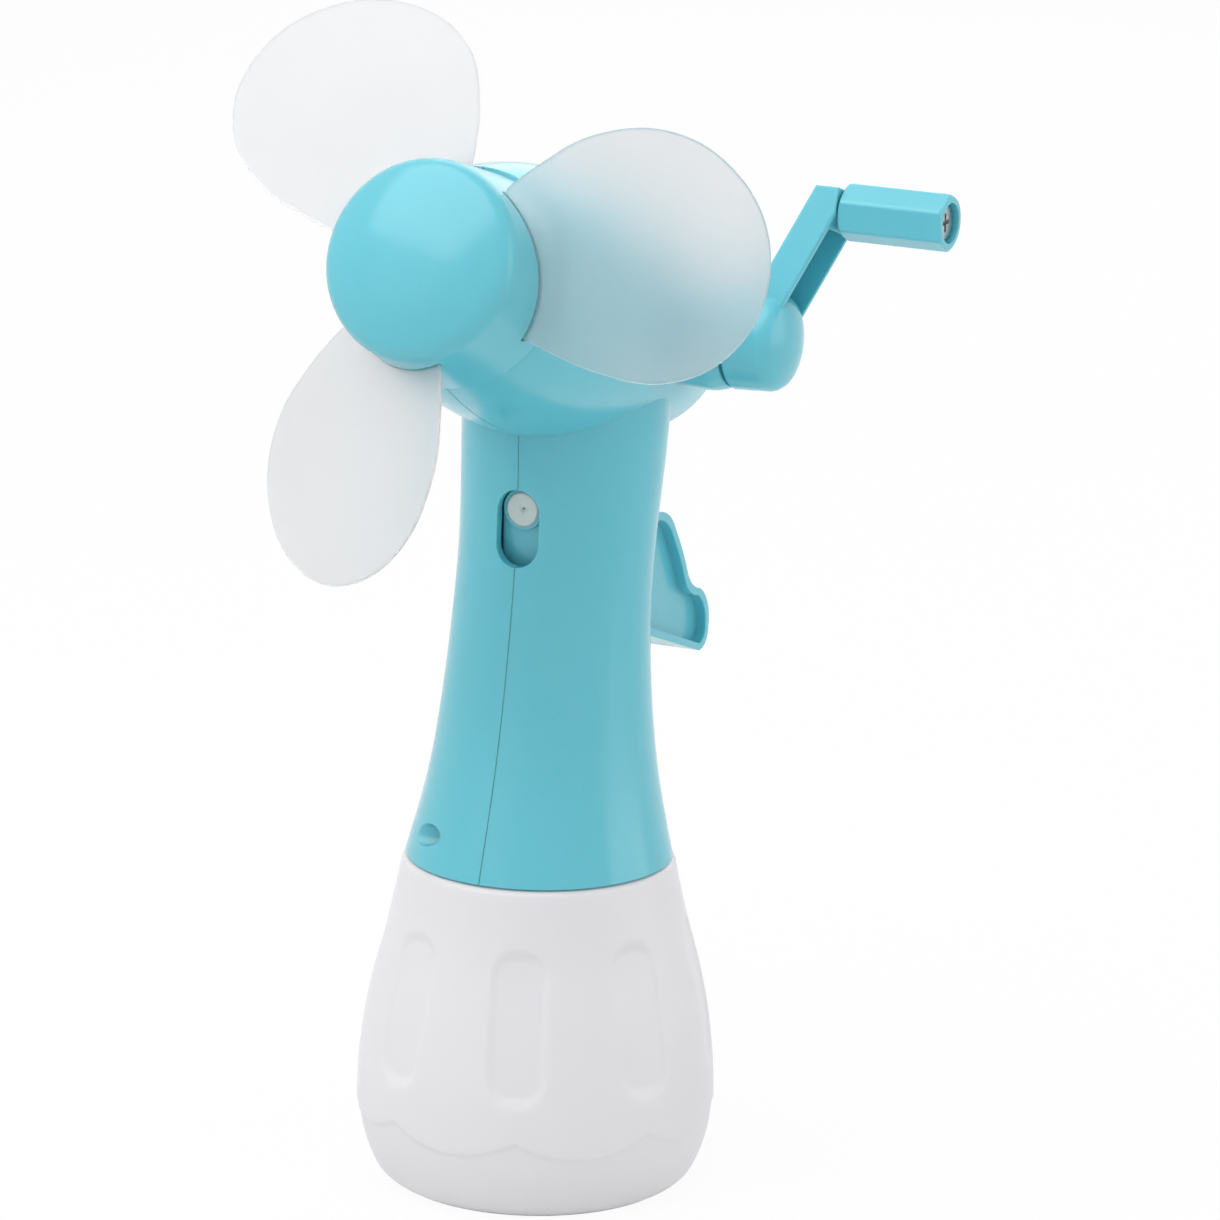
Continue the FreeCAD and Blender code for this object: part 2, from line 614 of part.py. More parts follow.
def make_shells():
    """Left and right halves of the grip and head, split down the middle plane."""
    outer = join("shell_outer", [grip_loft("grip_outer", 0, 0), head_egg("head_outer", 0,
                                                                         d.front_gap)])
    inner = join("shell_inner", [grip_loft("grip_inner", d.wall, 2),
                                 head_egg("head_inner", d.wall, d.front_gap + d.front_wall)])
    skin = cut("shell_skin", outer, inner)
    trimmed = overlap("fittings_trimmed", [shell_inside(), outer])
    crank_y, crank_z = crank_point()
    boss = turned("crank_boss", [
        (0, d.crank_boss_start), (d.crank_boss_radius, d.crank_boss_start),
        (d.crank_boss_radius, d.crank_boss_shoulder),
        (d.crank_boss_end_radius, d.crank_boss_end, -d.crank_boss_round),
        (0, d.crank_boss_end)])
    across(boss, 0, crank_y, crank_z)
    whole = cut("shell_whole", join("shell_solid", [skin, trimmed, boss]), shell_cuts())
    gap = d.seam_gap / 2
    low, high = d.shell_foot, d.shell_top
    left_half = block("left_half", (-FAR, -FAR, low), (-gap, FAR, high))
    right_half = block("right_half", (gap, -FAR, low), (FAR, FAR, high))
    keep(overlap("left_shell", [whole, left_half]), "left_shell")
    keep(overlap("right_shell", [whole, right_half]), "right_shell")


def cross_slots(name, start, end, y, z, reach, half):
    """Two crossed slots in the head of a screw that lies along X."""
    return join(name, [
        block(f"{name}_flat", (start, y - reach, z - half), (end, y + reach, z + half)),
        block(f"{name}_upright", (start, y - half, z - reach), (end, y + half, z + reach))])


def make_shell_screws():
    """Six pan-head screws, driven from the left."""
    screws = []
    for index, (y, z) in enumerate(screw_places()):
        top = -d.screw_seat - d.screw_seat_gap - d.screw_head_height
        head = rod(f"screw_head_{index}", d.screw_head_radius, d.screw_head_height, top, y, z,
                   ALONG_X)
        shank = rod(f"screw_shank_{index}", d.screw_shank, d.screw_seat + d.screw_reach,
                    -d.screw_seat - TOUCH, y, z, ALONG_X)
        cross = cross_slots(f"screw_cross_{index}", top - PAST, -d.cross_floor, y, z,
                            d.cross_reach, d.cross_half)
        screws.append(cut(f"screw_{index}", join(f"screw_blank_{index}", [head, shank]), cross))
    group = doc.addObject("Part::Compound", "shell_screws")
    group.Links = screws
    keep(group, "shell_screws")


# ------------------------------------------------------------------ gears
PRESSURE_ANGLE = 20
ADDENDUM = 0.9
DEDENDUM = 1.2
THINNING = 0.16
CROWN_PLAY = 0.06
ROOT_OVERLAP = 0.05
ROOT_SHARE = 0.8


def involute_at(base, radius):
    """Angle of the involute of a base circle where it reaches a radius."""
    roll = math.sqrt(max((radius / base) ** 2 - 1, 0))
    return roll - math.atan(roll)


def tooth_corners(teeth, module, width=0.0):
    """Half-angles of one tooth at its foot, pitch circle and tip."""
    pitch = teeth * module / 2
    base = pitch * math.cos(math.radians(PRESSURE_ANGLE))
    half = (math.pi * module / 2 - THINNING - width) / (2 * pitch)
    at_pitch = involute_at(base, pitch)
    corners = []
    for radius in (pitch - DEDENDUM * module, pitch, pitch + ADDENDUM * module):
        corners.append((radius, half + at_pitch - involute_at(base, max(radius, base))))
    return corners


def polar(radius, angle):
    return Vector(radius * math.cos(angle), radius * math.sin(angle), 0)


def gear_teeth(body, name, teeth, height, turn, start=0):
    """Disc and a ring of involute teeth, as a pad that is repeated round Z."""
    count = int(float(teeth))
    module = float(d.module)
    corners = tooth_corners(count, module)
    disc = body_sketch(body, f"{name}_disc", "XY_Plane")
    disc.AttachmentOffset = Placement(Vector(0, 0, float(start)), Rotation())
    bind(disc, "AttachmentOffset.Base.z", start)
    draw_circle(disc, 0, 0, d.module * (teeth / 2 - DEDENDUM) + ROOT_OVERLAP)
    pad(body, disc, f"{name}_web", height)
    tooth = body_sketch(body, f"{name}_tooth", "XY_Plane")
    tooth.AttachmentOffset = Placement(Vector(0, 0, float(start)), Rotation(Z_AXIS, turn))
    bind(tooth, "AttachmentOffset.Base.z", start)
    low, middle, high = corners
    right = [polar(radius, -angle) for radius, angle in (low, middle, high)]
    left = [polar(radius, angle) for radius, angle in (high, middle, low)]
    inside = low[0] * ROOT_SHARE
    tooth.addGeometry(Part.Arc(*right), False)
    tooth.addGeometry(Part.LineSegment(right[2], left[0]), False)
    tooth.addGeometry(Part.Arc(*left), False)
    tooth.addGeometry(Part.LineSegment(left[2], polar(inside, low[1])), False)
    tooth.addGeometry(Part.LineSegment(polar(inside, low[1]), polar(inside, -low[1])), False)
    tooth.addGeometry(Part.LineSegment(polar(inside, -low[1]), right[0]), False)
    for index in range(tooth.GeometryCount):
        tooth.addConstraint(Sketcher.Constraint("Block", index))
    first = pad(body, tooth, f"{name}_one_tooth", height)
    ring = body.newObject("PartDesign::PolarPattern", f"{name}_ring")
    ring.Originals = [first]
    ring.Axis = (origin_plane(body, "Z_Axis"), [""])
    ring.Angle = 360
    ring.Occurrences = count
    bind(ring, "Occurrences", teeth)
    body.Tip = ring
    return ring


def add_tube(body, name, radius, low, high):
    """Pad a boss on a body along its own Z."""
    sketch = body_sketch(body, f"{name}_sketch", "XY_Plane")
    bind(sketch, "AttachmentOffset.Base.z", low)
    draw_circle(sketch, 0, 0, radius)
    return pad(body, sketch, name, as_size(high) - low)


def add_bore(body, name, radius, low, high):
    """Bore a body along its own Z."""
    sketch = body_sketch(body, f"{name}_sketch", "XY_Plane")
    bind(sketch, "AttachmentOffset.Base.z", low)
    draw_circle(sketch, 0, 0, radius)
    return pocket(body, sketch, name, as_size(high) - low, reverse=True)


def make_drive_gear():
    """Large spur gear on the crank shaft, with a long hub towards the crank."""
    body = new_body("drive_gear_body")
    gear_teeth(body, "drive_teeth", d.drive_teeth, d.gear_width, 0)
    low, high = -d.drive_hub_left, d.drive_hub_right
    add_tube(body, "drive_hub", d.drive_hub_radius, low, high)
    add_bore(body, "drive_bore", d.crank_shaft_radius + d.press_gap, low - PAST, high + PAST)
    y, z = crank_point()
    # the gears lie across the head: turned so, a tooth is on the line to the idler's axis
    turn = Rotation(X_AXIS, float(-d.gear_line)) * ALONG_X
    place(body, d.drive_gear_at, y, z, turn)
    keep(body, "drive_gear")


def make_idler():
    """Compound gear: crown wheel for the fan, with a small spur gear beside it."""
    body = new_body("idler_body")
    # the body's own zero is the back of the crown; the fan's axis passes at back
    back = d.crown_floor_at + d.crown_plate
    tips = back - d.crown_tip_at
    pitch_radius = d.module * d.crown_teeth / 2
    rim = pitch_radius + d.crown_face / 2
    add_tube(body, "crown_disc", rim, 0, d.crown_plate)
    add_tube(body, "crown_ring", rim, d.crown_plate, tips)
    add_bore(body, "crown_dish", pitch_radius - d.crown_face / 2, d.crown_plate, back)
    # gaps between the crown teeth: rack-shaped slots, cut outwards
    slot = body_sketch(body, "crown_slot", "XZ_Plane")
    top = float(tips) + PAST
    bottom = float(d.crown_plate)
    pitch_height = float(back - d.module * d.fan_teeth / 2)
    half = float(d.module) * math.pi / 4 + THINNING + CROWN_PLAY
    slope = math.tan(math.radians(PRESSURE_ANGLE))
    wide = half + (top - pitch_height) * slope
    narrow = half - (pitch_height - bottom) * slope
    corners = [Vector(-narrow, bottom, 0), Vector(narrow, bottom, 0), Vector(wide, top, 0),
               Vector(-wide, top, 0)]
    for index in range(4):
        slot.addGeometry(Part.LineSegment(corners[index - 1], corners[index]), False)
        slot.addConstraint(Sketcher.Constraint("Block", index))
    gap = pocket(body, slot, "crown_gap", rim + PAST, reverse=True)
    ring = body.newObject("PartDesign::PolarPattern", "crown_gaps")
    ring.Originals = [gap]
    ring.Axis = (origin_plane(body, "Z_Axis"), [""])
    ring.Angle = 360
    ring.Occurrences = int(float(d.crown_teeth))
    bind(ring, "Occurrences", d.crown_teeth)
    body.Tip = ring
    left = back - d.idler_left_face + d.idler_end_gap
    right = back + d.idler_right_face - d.idler_end_gap
    add_tube(body, "idler_sleeve", d.idler_sleeve, left, right)
    # a gap between two teeth is on the line to the crank's axis
    half_tooth = 180 / float(d.idler_teeth)
    gear_teeth(body, "idler_teeth", d.idler_teeth, d.idler_gear_width,
               half_tooth + float(d.head_tilt - d.gear_line), back + d.idler_gear_at)
    add_bore(body, "idler_bore_hole", d.pin_radius + d.running_gap, left - PAST, right + PAST)
    y, z = head_point(d.idler_at)
    turn = Rotation(X_AXIS, float(-d.head_tilt)) * ALONG_X
    place(body, -back, y, z, turn)
    keep(body, "compound_gear")


def make_fan_pinion():
    """Small spur gear at the inner end of the fan shaft."""
    body = new_body("fan_pinion_body")
    gear_teeth(body, "pinion_teeth", d.fan_teeth, d.pinion_width, 0)
    add_bore(body, "pinion_bore", d.fan_shaft_radius + d.press_gap, -PAST, d.pinion_width + PAST)
    on_head_axis(body, -(d.idler_at - d.module * d.crown_teeth / 2 + d.pinion_width / 2))
    keep(body, "fan_pinion")


# ------------------------------------------------------------------ shafts and bearings
def make_shafts():
    shaft = tube("fan_shaft_body", 0, d.fan_shaft_radius, -d.fan_shaft_end, d.fan_shaft_front)
    keep(on_head_axis(shaft), "fan_shaft")
    inner = d.fan_shaft_radius + d.running_gap
    front = tube("front_bush_body", inner, d.bush_radius,
                 -(d.front_gap + d.front_bush_length), -d.front_gap)
    keep(on_head_axis(front), "front_bush")
    rear = tube("rear_bush_body", inner, d.bush_radius, -d.rear_bush_at,
                -(d.rear_bush_at - d.rear_bush_length))
    keep(on_head_axis(rear), "rear_bush")
    low = TOUCH - d.front_gap
    washer = tube("fan_washer_body", inner, d.fan_washer_radius, low, low + d.washer_thick)
    keep(on_head_axis(washer), "fan_washer")
    low = -d.collar_at - d.collar_width
    collar = tube("shaft_collar_body", d.fan_shaft_radius + d.press_gap, d.collar_radius, low,
                  low + d.collar_width)
    keep(on_head_axis(collar), "shaft_collar")
    idler_y, idler_z = head_point(d.idler_at)
    pin = tube("idler_pin_body", 0, d.pin_radius, -d.idler_pin_left, d.idler_pin_right)
    keep(across(pin, 0, idler_y, idler_z), "idler_pin")
    crank_y, crank_z = crank_point()
    shaft = tube("crank_shaft_body", 0, d.crank_shaft_radius, -d.crank_shaft_left,
                 d.crank_shaft_right)
    keep(across(shaft, 0, crank_y, crank_z), "crank_shaft")
    bush = tube("crank_bush_body", d.crank_shaft_radius + d.running_gap, d.bush_radius,
                d.crank_boss_start, d.crank_boss_end - TOUCH)
    keep(across(bush, 0, crank_y, crank_z), "crank_bush")
    high = d.crank_boss_start - TOUCH
    washer = tube("crank_washer_body", d.crank_shaft_radius + d.running_gap,
                  d.crank_washer_radius, high - d.washer_thick, high)
    keep(across(washer, 0, crank_y, crank_z), "crank_washer")


# ------------------------------------------------------------------ crank
def make_crank_arm():
    """Domed hub, a leaning channel arm and the post that the knob turns on."""
    crank_y, crank_z = crank_point()
    crown, rise = d.crank_crown_radius, d.crank_crown_rise
    hub = turned("crank_hub", [
        (0, d.crank_hub_start), (d.crank_hub_radius - d.hub_edge, d.crank_hub_start),
        (d.crank_hub_radius, d.crank_hub_start + d.hub_edge),
        (d.crank_hub_end_radius, d.crank_hub_end),
        (crown, d.crank_dome_end - rise, -d.crank_hub_round),
        (TIP, d.crank_dome_end, -crown_arc(crown, rise)), (0, d.crank_dome_end)])
    across(hub, 0, crank_y, crank_z)
    reach_y = float(d.knob_y - crank_y)
    reach_z = float(d.knob_z - crank_z)
    swing = math.degrees(math.atan2(reach_y, reach_z))
    lean = float(d.arm_lean)
    turn = Rotation(X_AXIS, -swing) * Rotation(Y_AXIS, lean)
    reach = math.hypot(reach_y, reach_z)
    length = reach / math.cos(math.radians(lean))
    half = float(d.arm_width) / 2
    shift = float(d.arm_shift)
    thick = float(d.arm_thick)
    start = Vector(float(d.arm_outer_face), float(crank_y), float(crank_z))
    beam = Part.makeBox(thick, 2 * half, length * 1.5, Vector(-thick, shift - half, 0))
    long_edges = [edge for edge in beam.Edges if edge.Length > length]
    beam = beam.makeFillet(float(d.arm_round), long_edges)
    beam.Placement = Placement(start, turn)
    # the arm ends square to the knob's axis
    end = Part.makeBox(FAR, FAR, FAR, Vector(-FAR / 2, -FAR / 2, reach + float(d.arm_tail)))
    end.Placement = Placement(start, Rotation(X_AXIS, -swing))
    rim = float(d.arm_rim)
    deep = float(d.arm_channel_depth)
    channel = Part.makeBox(deep + PAST, 2 * (half - rim), length - float(d.channel_end),
                           Vector(-deep, shift - half + rim, float(d.channel_start)))
    arm = shaped("arm_beam", beam.cut(end))
    groove = shaped("arm_channel", channel, Placement(start, turn))
    post = rod("knob_post", d.knob_post, d.knob_end - d.knob_recess_depth - d.post_start,
               d.post_start, d.knob_y, d.knob_z, ALONG_X)
    open_arm = cut("arm_open", arm, groove)
    blank = join("crank_blank", [hub, open_arm])
    face = d.knob_start - d.knob_clear
    trim = block("knob_clearance", (face, 0, d.knob_z - FAR), (face + FAR, FAR, d.knob_z + FAR))
    trimmed = cut("crank_trimmed", blank, trim)
    screw_end = d.knob_end - d.knob_recess_depth - d.knob_screw_length
    holes = join("crank_holes", [
        rod("shaft_socket", d.crank_shaft_radius + d.press_gap,
            d.crank_shaft_right - d.socket_start + TOUCH, d.socket_start, crank_y, crank_z,
            ALONG_X),
        rod("knob_screw_hole", d.knob_screw_radius + d.press_gap, d.knob_screw_length + PAST,
            screw_end - TOUCH, d.knob_y, d.knob_z, ALONG_X)])
    keep(cut("crank_arm_body", join("crank_with_post", [trimmed, post]), holes), "crank_arm")


def make_knob():
    """Six-sided grip that turns freely on the crank's post, and the screw that keeps it."""
    body = new_body("knob_body")
    sketch = body_sketch(body, "knob_section", "XY_Plane")
    # each corner is rounded: a short arc between two points beside it
    corner, bevel = d.knob_corner_radius, d.knob_round
    beside = bevel * math.tan(math.radians(30))
    outline = []
    for step in range(6):
        angle = math.radians(60 * step)
        outward = (math.cos(angle), math.sin(angle))
        for turn, arc in ((-120, ()), (120, (-bevel,))):
            side = math.radians(60 * step + turn)
            outline.append((corner * outward[0] + beside * math.cos(side),
                            corner * outward[1] + beside * math.sin(side), *arc))
    draw_outline(sketch, outline)
    length = d.knob_end - d.knob_start
    pad(body, sketch, "knob_prism", length)
    add_bore(body, "knob_bore", d.knob_post + d.running_gap, -PAST, length + PAST)
    add_bore(body, "knob_recess_hole", d.knob_recess, length - d.knob_recess_depth - TOUCH,
             length + PAST)
    # both ends are turned: only the corners lose a little
    soft = d.knob_end_round
    ends = turned("knob_ends", [
        (corner - soft, 0), (corner, soft, -soft), (corner, length - soft),
        (corner - soft, length, -soft), (0, length), (0, 0)])
    knob = overlap("knob_rounded", [body, ends])
    y, z = d.knob_y, d.knob_z
    keep(across(knob, d.knob_start, y, z), "crank_knob")
    seat = d.knob_end - d.knob_recess_depth
    head = rod("knob_screw_head", d.knob_screw_head, d.knob_screw_height,
               seat + d.knob_screw_gap, y, z, ALONG_X)
    shank = rod("knob_screw_shank", d.knob_screw_radius, d.knob_screw_length + d.knob_screw_height,
                seat - d.knob_screw_length, y, z, ALONG_X)
    cross = cross_slots("knob_screw_cross", d.knob_cross_floor, d.knob_end, y, z,
                        d.knob_cross_reach, d.knob_cross_half)
    keep(cut("knob_screw_body", join("knob_screw_blank", [head, shank]), cross), "knob_screw")


# ------------------------------------------------------------------ fan
# half of the blade seen square on: distance from the fan's axis, and half width there
BLADE_LEADING = [(17.5, 15.2), (24.5, 19.6), (34, 24.2), (46, 25.6), (56.5, 22.4), (64.2, 15.6),
                 (68.8, 7)]
BLADE_TRAILING = [(69.8, -2.6), (67.4, -12), (61.5, -20), (53, -25.2), (42.8, -26.4),
                  (32.5, -23.6), (24.6, -20), (17.5, -15.8)]
BLADE_ROOT = [(9.2, -5.4), (9.2, 5.4)]
BLADE_NAMES = ("right_blade", "upper_blade", "lower_blade")


def blade_solid(thick, spread=1.0):
    """Flat petal with a straight tab at its root; spread widens it."""
    spline = Part.BSplineCurve()
    spline.interpolate([Vector(x, y * spread, 0) for x, y in BLADE_LEADING + BLADE_TRAILING])
    corners = [spline.EndPoint] + [Vector(x, y * spread, 0) for x, y in BLADE_ROOT]
    corners.append(spline.StartPoint)
    edges = [spline.toShape()]
    edges += [Part.makeLine(start, end) for start, end in zip(corners, corners[1:])]
    face = Part.Face(Part.Wire(edges))
    face.translate(Vector(0, 0, -thick / 2))
    return face.extrude(Vector(0, 0, thick))


def blade_placement(index):
    """Pitched and swept seat of one blade on the hub."""
    y, z = head_point(-d.blade_plane_at)
    turn = HEAD_TURN * Rotation(Z_AXIS, float(d.blade_phase) + 120 * index)
    turn = turn * Rotation(X_AXIS, float(d.blade_pitch)) * Rotation(Z_AXIS, -float(d.blade_sweep))
    return Placement(Vector(0, float(y), float(z)), turn)


def make_fan():
    """Domed hub cap, the hub inside it that grips the shaft, and three blades."""
    thick = float(d.blade_thick)
    wall = d.hub_wall
    crown = crown_arc(d.hub_crown_radius, d.hub_length - d.hub_crown_at)
    slit = blade_solid(thick + float(d.slit_play), float(d.slit_spread))
    grip = blade_solid(thick + float(d.grip_play))
    slits = [shaped(f"blade_slit_{index}", slit, blade_placement(index)) for index in range(3)]
    cap = turned("hub_cap_blank", [
        (d.hub_rim_radius - wall, 0), (d.hub_rim_radius, 0),
        (d.hub_shoulder_radius, d.hub_shoulder_at),
        (d.hub_crown_radius, d.hub_crown_at, -d.hub_round),
        (TIP, d.hub_length, -crown), (0, d.hub_length),
        (0, d.hub_length - wall), (TIP, d.hub_length - wall),
        (d.hub_crown_radius - d.hub_crown_inset, d.hub_crown_at - wall, crown),
        (d.hub_shoulder_radius - wall, d.hub_shoulder_at, d.hub_inner_round)])
    on_head_axis(cap)
    inside = d.hub_boss + d.sleeve_play
    sleeve = tube("cap_sleeve", inside, inside + d.sleeve_wall, d.sleeve_start, d.cap_sleeve_end)
    on_head_axis(sleeve)
    keep(cut("hub_cap_body", join("hub_cap_solid", [cap, sleeve]), join("cap_slits", slits)),
         "hub_cap")
    bore = d.fan_shaft_radius + d.press_gap
    hub = turned("fan_hub_blank", [
        (bore, -d.hub_heel), (d.hub_heel_radius, -d.hub_heel),
        (d.hub_heel_radius, d.hub_plate_back), (d.hub_plate_radius, d.hub_plate_back),
        (d.hub_plate_radius, d.hub_plate_front), (d.hub_boss, d.hub_plate_front),
        (d.hub_boss, d.hub_boss_end), (0, d.hub_boss_end), (0, d.hub_socket),
        (bore, d.hub_socket)])
    on_head_axis(hub)
    grips = [shaped(f"blade_grip_{index}", grip, blade_placement(index)) for index in range(3)]
    width, height = float(d.seat_width), float(d.seat_height)
    seat = Part.makeBox(float(d.seat_length), width, height,
                        Vector(float(d.seat_at), -width / 2, -height / 2))
    seats = [shaped(f"blade_seat_{index}", seat, blade_placement(index)) for index in range(3)]
    keep(cut("fan_hub_body", join("fan_hub_solid", [hub] + seats), join("hub_grips", grips)),
         "fan_hub")
    for index, name in enumerate(BLADE_NAMES):
        keep(shaped(f"{name}_solid", blade_solid(thick), blade_placement(index)), name)


# ------------------------------------------------------------------ trigger and pump
def make_trigger():
    """Finger lever: hinged on a pin at the front of the grip, it bears on the actuator."""
    body = new_body("trigger_body")
    finger = body_sketch(body, "finger_profile", "YZ_Plane")
    draw_outline(finger, [
        (20.5, 118), (20.5, 141.6), (32, 141.4), (36.2, 140.4), (44.6, 134.6, 11),
        (51.2, 123.4, 60), (57.6, 118.6, -9), (62.4, 108.6, 9), (57.6, 104.4, 4.2),
        (33.4, 113.3)])
    pad(body, finger, "finger_pad", d.trigger_half * 2, middle=True)
    arm = body_sketch(body, "arm_profile", "YZ_Plane")
    pivot_y, pivot_z = d.pivot_y, d.pivot_z
    nose = d.actuator_top + d.nose_above
    draw_outline(arm, [
        (pivot_y, pivot_z + 3.3), (9, pivot_z + 2.8), (19.5, pivot_z - 2.6, 26),
        (23.9, 147), (23.9, 139), (19.2, 139), (19.2, 148), (16.6, 156), (13.1, nose),
        (9.9, nose, d.nose_round), (8, nose + TOUCH), (pivot_y, pivot_z - 3.3)])
    pad(body, arm, "arm_pad", d.trigger_arm_half * 2, middle=True)
    hub = body_sketch(body, "pivot_hub", "YZ_Plane")
    draw_circle(hub, pivot_y, pivot_z, d.pivot_radius)
    pad(body, hub, "pivot_pad", d.pivot_half * 2, middle=True)
    bore = body_sketch(body, "pivot_bore", "YZ_Plane")
    draw_circle(bore, pivot_y, pivot_z, d.pin_radius + d.running_gap)
    hole = pocket(body, bore, "pivot_hole", d.pivot_half * 2 + PAST)
    hole.Midplane = True
    # hollow sides: the lever is a web with a rim round it
    for side, flip in ((1, False), (-1, True)):
        hollow = body_sketch(body, f"side_hollow_{side + 1}", "YZ_Plane")
        bind(hollow, "AttachmentOffset.Base.z", d.trigger_half * side)
        draw_outline(hollow, [
            (27, 117.6), (27, 139.8), (35.8, 138.6), (43.2, 133.6, 10), (49.6, 122.6, 60),
            (56.6, 117.2, -9), (60.8, 109, 8), (57.6, 106, 3), (34, 114.9)])
        pocket(body, hollow, f"side_pocket_{side + 1}", d.trigger_hollow, reverse=flip)
    keep(place(body), "trigger")
    pin = tube("trigger_pin_body", 0, d.pin_radius, -d.trigger_pin_half, d.trigger_pin_half)
    keep(across(pin, 0, d.pivot_y, d.pivot_z), "trigger_pin")


def make_actuator():
    """Sliding spray head on the pump stem, with a shelf that the trigger presses."""
    top, ledge = d.actuator_top, d.actuator_ledge
    tube_part = rod("actuator_tube", d.actuator_tube, top - d.actuator_bottom, 0, 0,
                    d.actuator_bottom)
    low = d.actuator_neck_low
    neck = rod("actuator_neck", d.actuator_neck, ledge - low, 0, 0, low)
    head = rod("actuator_head", d.actuator_radius, top - ledge, 0, 0, ledge)
    half = d.shelf_half
    shelf = block("actuator_shelf", (-half, 0, top - d.shelf_thick),
                  (half, d.actuator_shelf, top))
    half = d.apron_half
    apron = block("actuator_apron", (-half, -d.apron_front, d.apron_low),
                  (half, 0, d.nozzle_z))
    face = d.nozzle_face_y + d.nozzle_proud
    mouth = rod("nozzle_boss", d.nozzle_radius + d.nozzle_wall, -face, 0, face, d.nozzle_z,
                ALONG_BACK)
    front, back = d.nozzle_face_y - PAST, d.nozzle_face_y + d.nozzle_length
    blank = join("actuator_blank", [tube_part, neck, head, shelf, apron, mouth])
    holes = join("actuator_holes", [
        rod("stem_socket", d.stem_radius + d.press_gap, d.stem_top - d.actuator_bottom + PAST,
            0, 0, d.actuator_bottom - PAST),
        rod("feed_channel", d.stem_bore, d.nozzle_z - d.stem_top + PAST, 0, 0,
            d.stem_top - PAST),
        rod("nozzle_socket", d.nozzle_radius + d.press_gap, back + TOUCH - front, 0, front,
            d.nozzle_z, ALONG_BACK),
        rod("nozzle_feed", d.stem_bore, -back, 0, back, d.nozzle_z, ALONG_BACK)])
    keep(cut("actuator_body", blank, holes), "spray_actuator")
    proud = d.nozzle_proud
    nozzle = turned("nozzle_body", [
        (d.spray_hole, d.nozzle_dish), (d.nozzle_dish, d.nozzle_dish_depth),
        (d.nozzle_radius - proud, 0), (d.nozzle_radius, proud),
        (d.nozzle_radius, d.nozzle_length), (d.nozzle_chamber, d.nozzle_length),
        (d.nozzle_chamber, d.nozzle_chamber_at), (d.spray_hole, d.nozzle_chamber_at)])
    keep(place(nozzle, 0, d.nozzle_face_y, d.nozzle_z, ALONG_BACK), "nozzle_insert")


def make_pump():
    """Fine-mist pump: closure, cylinder, stem and piston, spring, ball and dip tube."""
    inside = d.closure_top - d.closure_lid
    closure = turned("closure_body", [
        (d.closure_bore, d.closure_bottom), (d.closure_radius, d.closure_bottom),
        (d.closure_radius, d.closure_flange_low), (d.closure_flange, d.closure_flange_low),
        (d.closure_flange, d.closure_flange_high), (d.closure_radius, d.closure_flange_high),
        (d.closure_radius, d.closure_top), (d.closure_mouth, d.closure_top),
        (d.closure_mouth, inside),
        (d.closure_bore, inside)])
    keep(place(closure), "closure_cap")
    flange = d.neck_top + d.gasket_thick
    gasket = tube("gasket_body", d.neck_bore, d.gasket_radius, d.neck_top, flange)
    keep(place(gasket), "bottle_gasket")
    floor, bottom = d.pump_bottom + d.pump_floor, d.pump_bottom
    well, socket, dip = d.ball_well, bottom - d.dip_socket, d.dip_radius + d.press_gap
    cylinder = turned("pump_body_blank", [
        (d.pump_bore, floor), (d.pump_bore, flange + d.pump_flange_thick),
        (d.pump_flange, flange + d.pump_flange_thick), (d.pump_flange, flange),
        (d.pump_radius, flange), (d.pump_radius, bottom), (d.pump_tail, bottom - d.pump_taper),
        (d.pump_tail, d.pump_tail_end), (dip, d.pump_tail_end), (dip, socket),
        (d.inlet_radius, socket), (d.inlet_radius, bottom - d.inlet_seat),
        (well, bottom + d.ball_well_floor), (well, floor)])
    keep(place(cylinder), "pump_cylinder")
    guide = d.stem_radius + d.running_gap
    low, high = flange + d.pump_flange_thick + d.press_gap, d.closure_top + d.collar_top_above
    collar = turned("pump_collar_body", [
        (guide, low), (d.collar_ring, low), (d.collar_ring, d.closure_top + d.collar_ring_above),
        (d.collar_top_radius, high), (guide, high)])
    keep(place(collar), "pump_collar")
    stem = tube("pump_stem_body", d.stem_bore, d.stem_radius, d.piston_bottom - d.stem_below,
                d.stem_top - TOUCH)
    keep(place(stem), "pump_stem")
    inside, lip, waist = d.stem_radius + d.press_gap, d.pump_bore - d.running_gap, d.piston_waist
    low, high = d.piston_bottom, d.piston_top
    piston = turned("piston_body", [
        (inside, low), (waist, low), (lip, low + d.piston_lip), (waist, low + d.piston_land),
        (waist, high - d.piston_land), (lip, high - d.piston_lip), (waist, high),
        (inside, high)])
    keep(place(piston), "pump_piston")
    ball = doc.addObject("Part::Sphere", "inlet_ball")
    bind(ball, "Radius", d.ball_radius)
    keep(place(ball, 0, 0, bottom + d.ball_at), "inlet_ball")
    tube_body = tube("dip_tube_body", d.dip_bore, d.dip_radius, d.dip_bottom, socket)
    keep(place(tube_body), "dip_tube")
    keep(pump_spring(), "pump_spring")


def pump_spring():
    """Helical return spring between the cylinder's floor and the piston."""
    low = d.spring_seat + d.spring_wire + d.seat_gap
    high = d.piston_bottom - d.spring_wire - d.seat_gap
    body = new_body("spring_body")
    wire = body_sketch(body, "spring_section")
    draw_circle(wire, d.spring_radius, low, d.spring_wire)
    coil = body.newObject("PartDesign::AdditiveHelix", "spring_coil")
    coil.Profile = wire
    coil.ReferenceAxis = (wire, ["V_Axis"])
    coil.Mode = "pitch-height-angle"
    bind(coil, "Height", high - low)
    bind(coil, "Pitch", (high - low) / d.spring_turns)
    return body


# ------------------------------------------------------------------ build, check, write
def check(feature):
    """Stop unless a feature is up to date and holds a valid solid."""
    if any(word in ("Invalid", "Error") for word in feature.State):
        raise RuntimeError(f"{feature.Label} did not compute: {feature.State}")


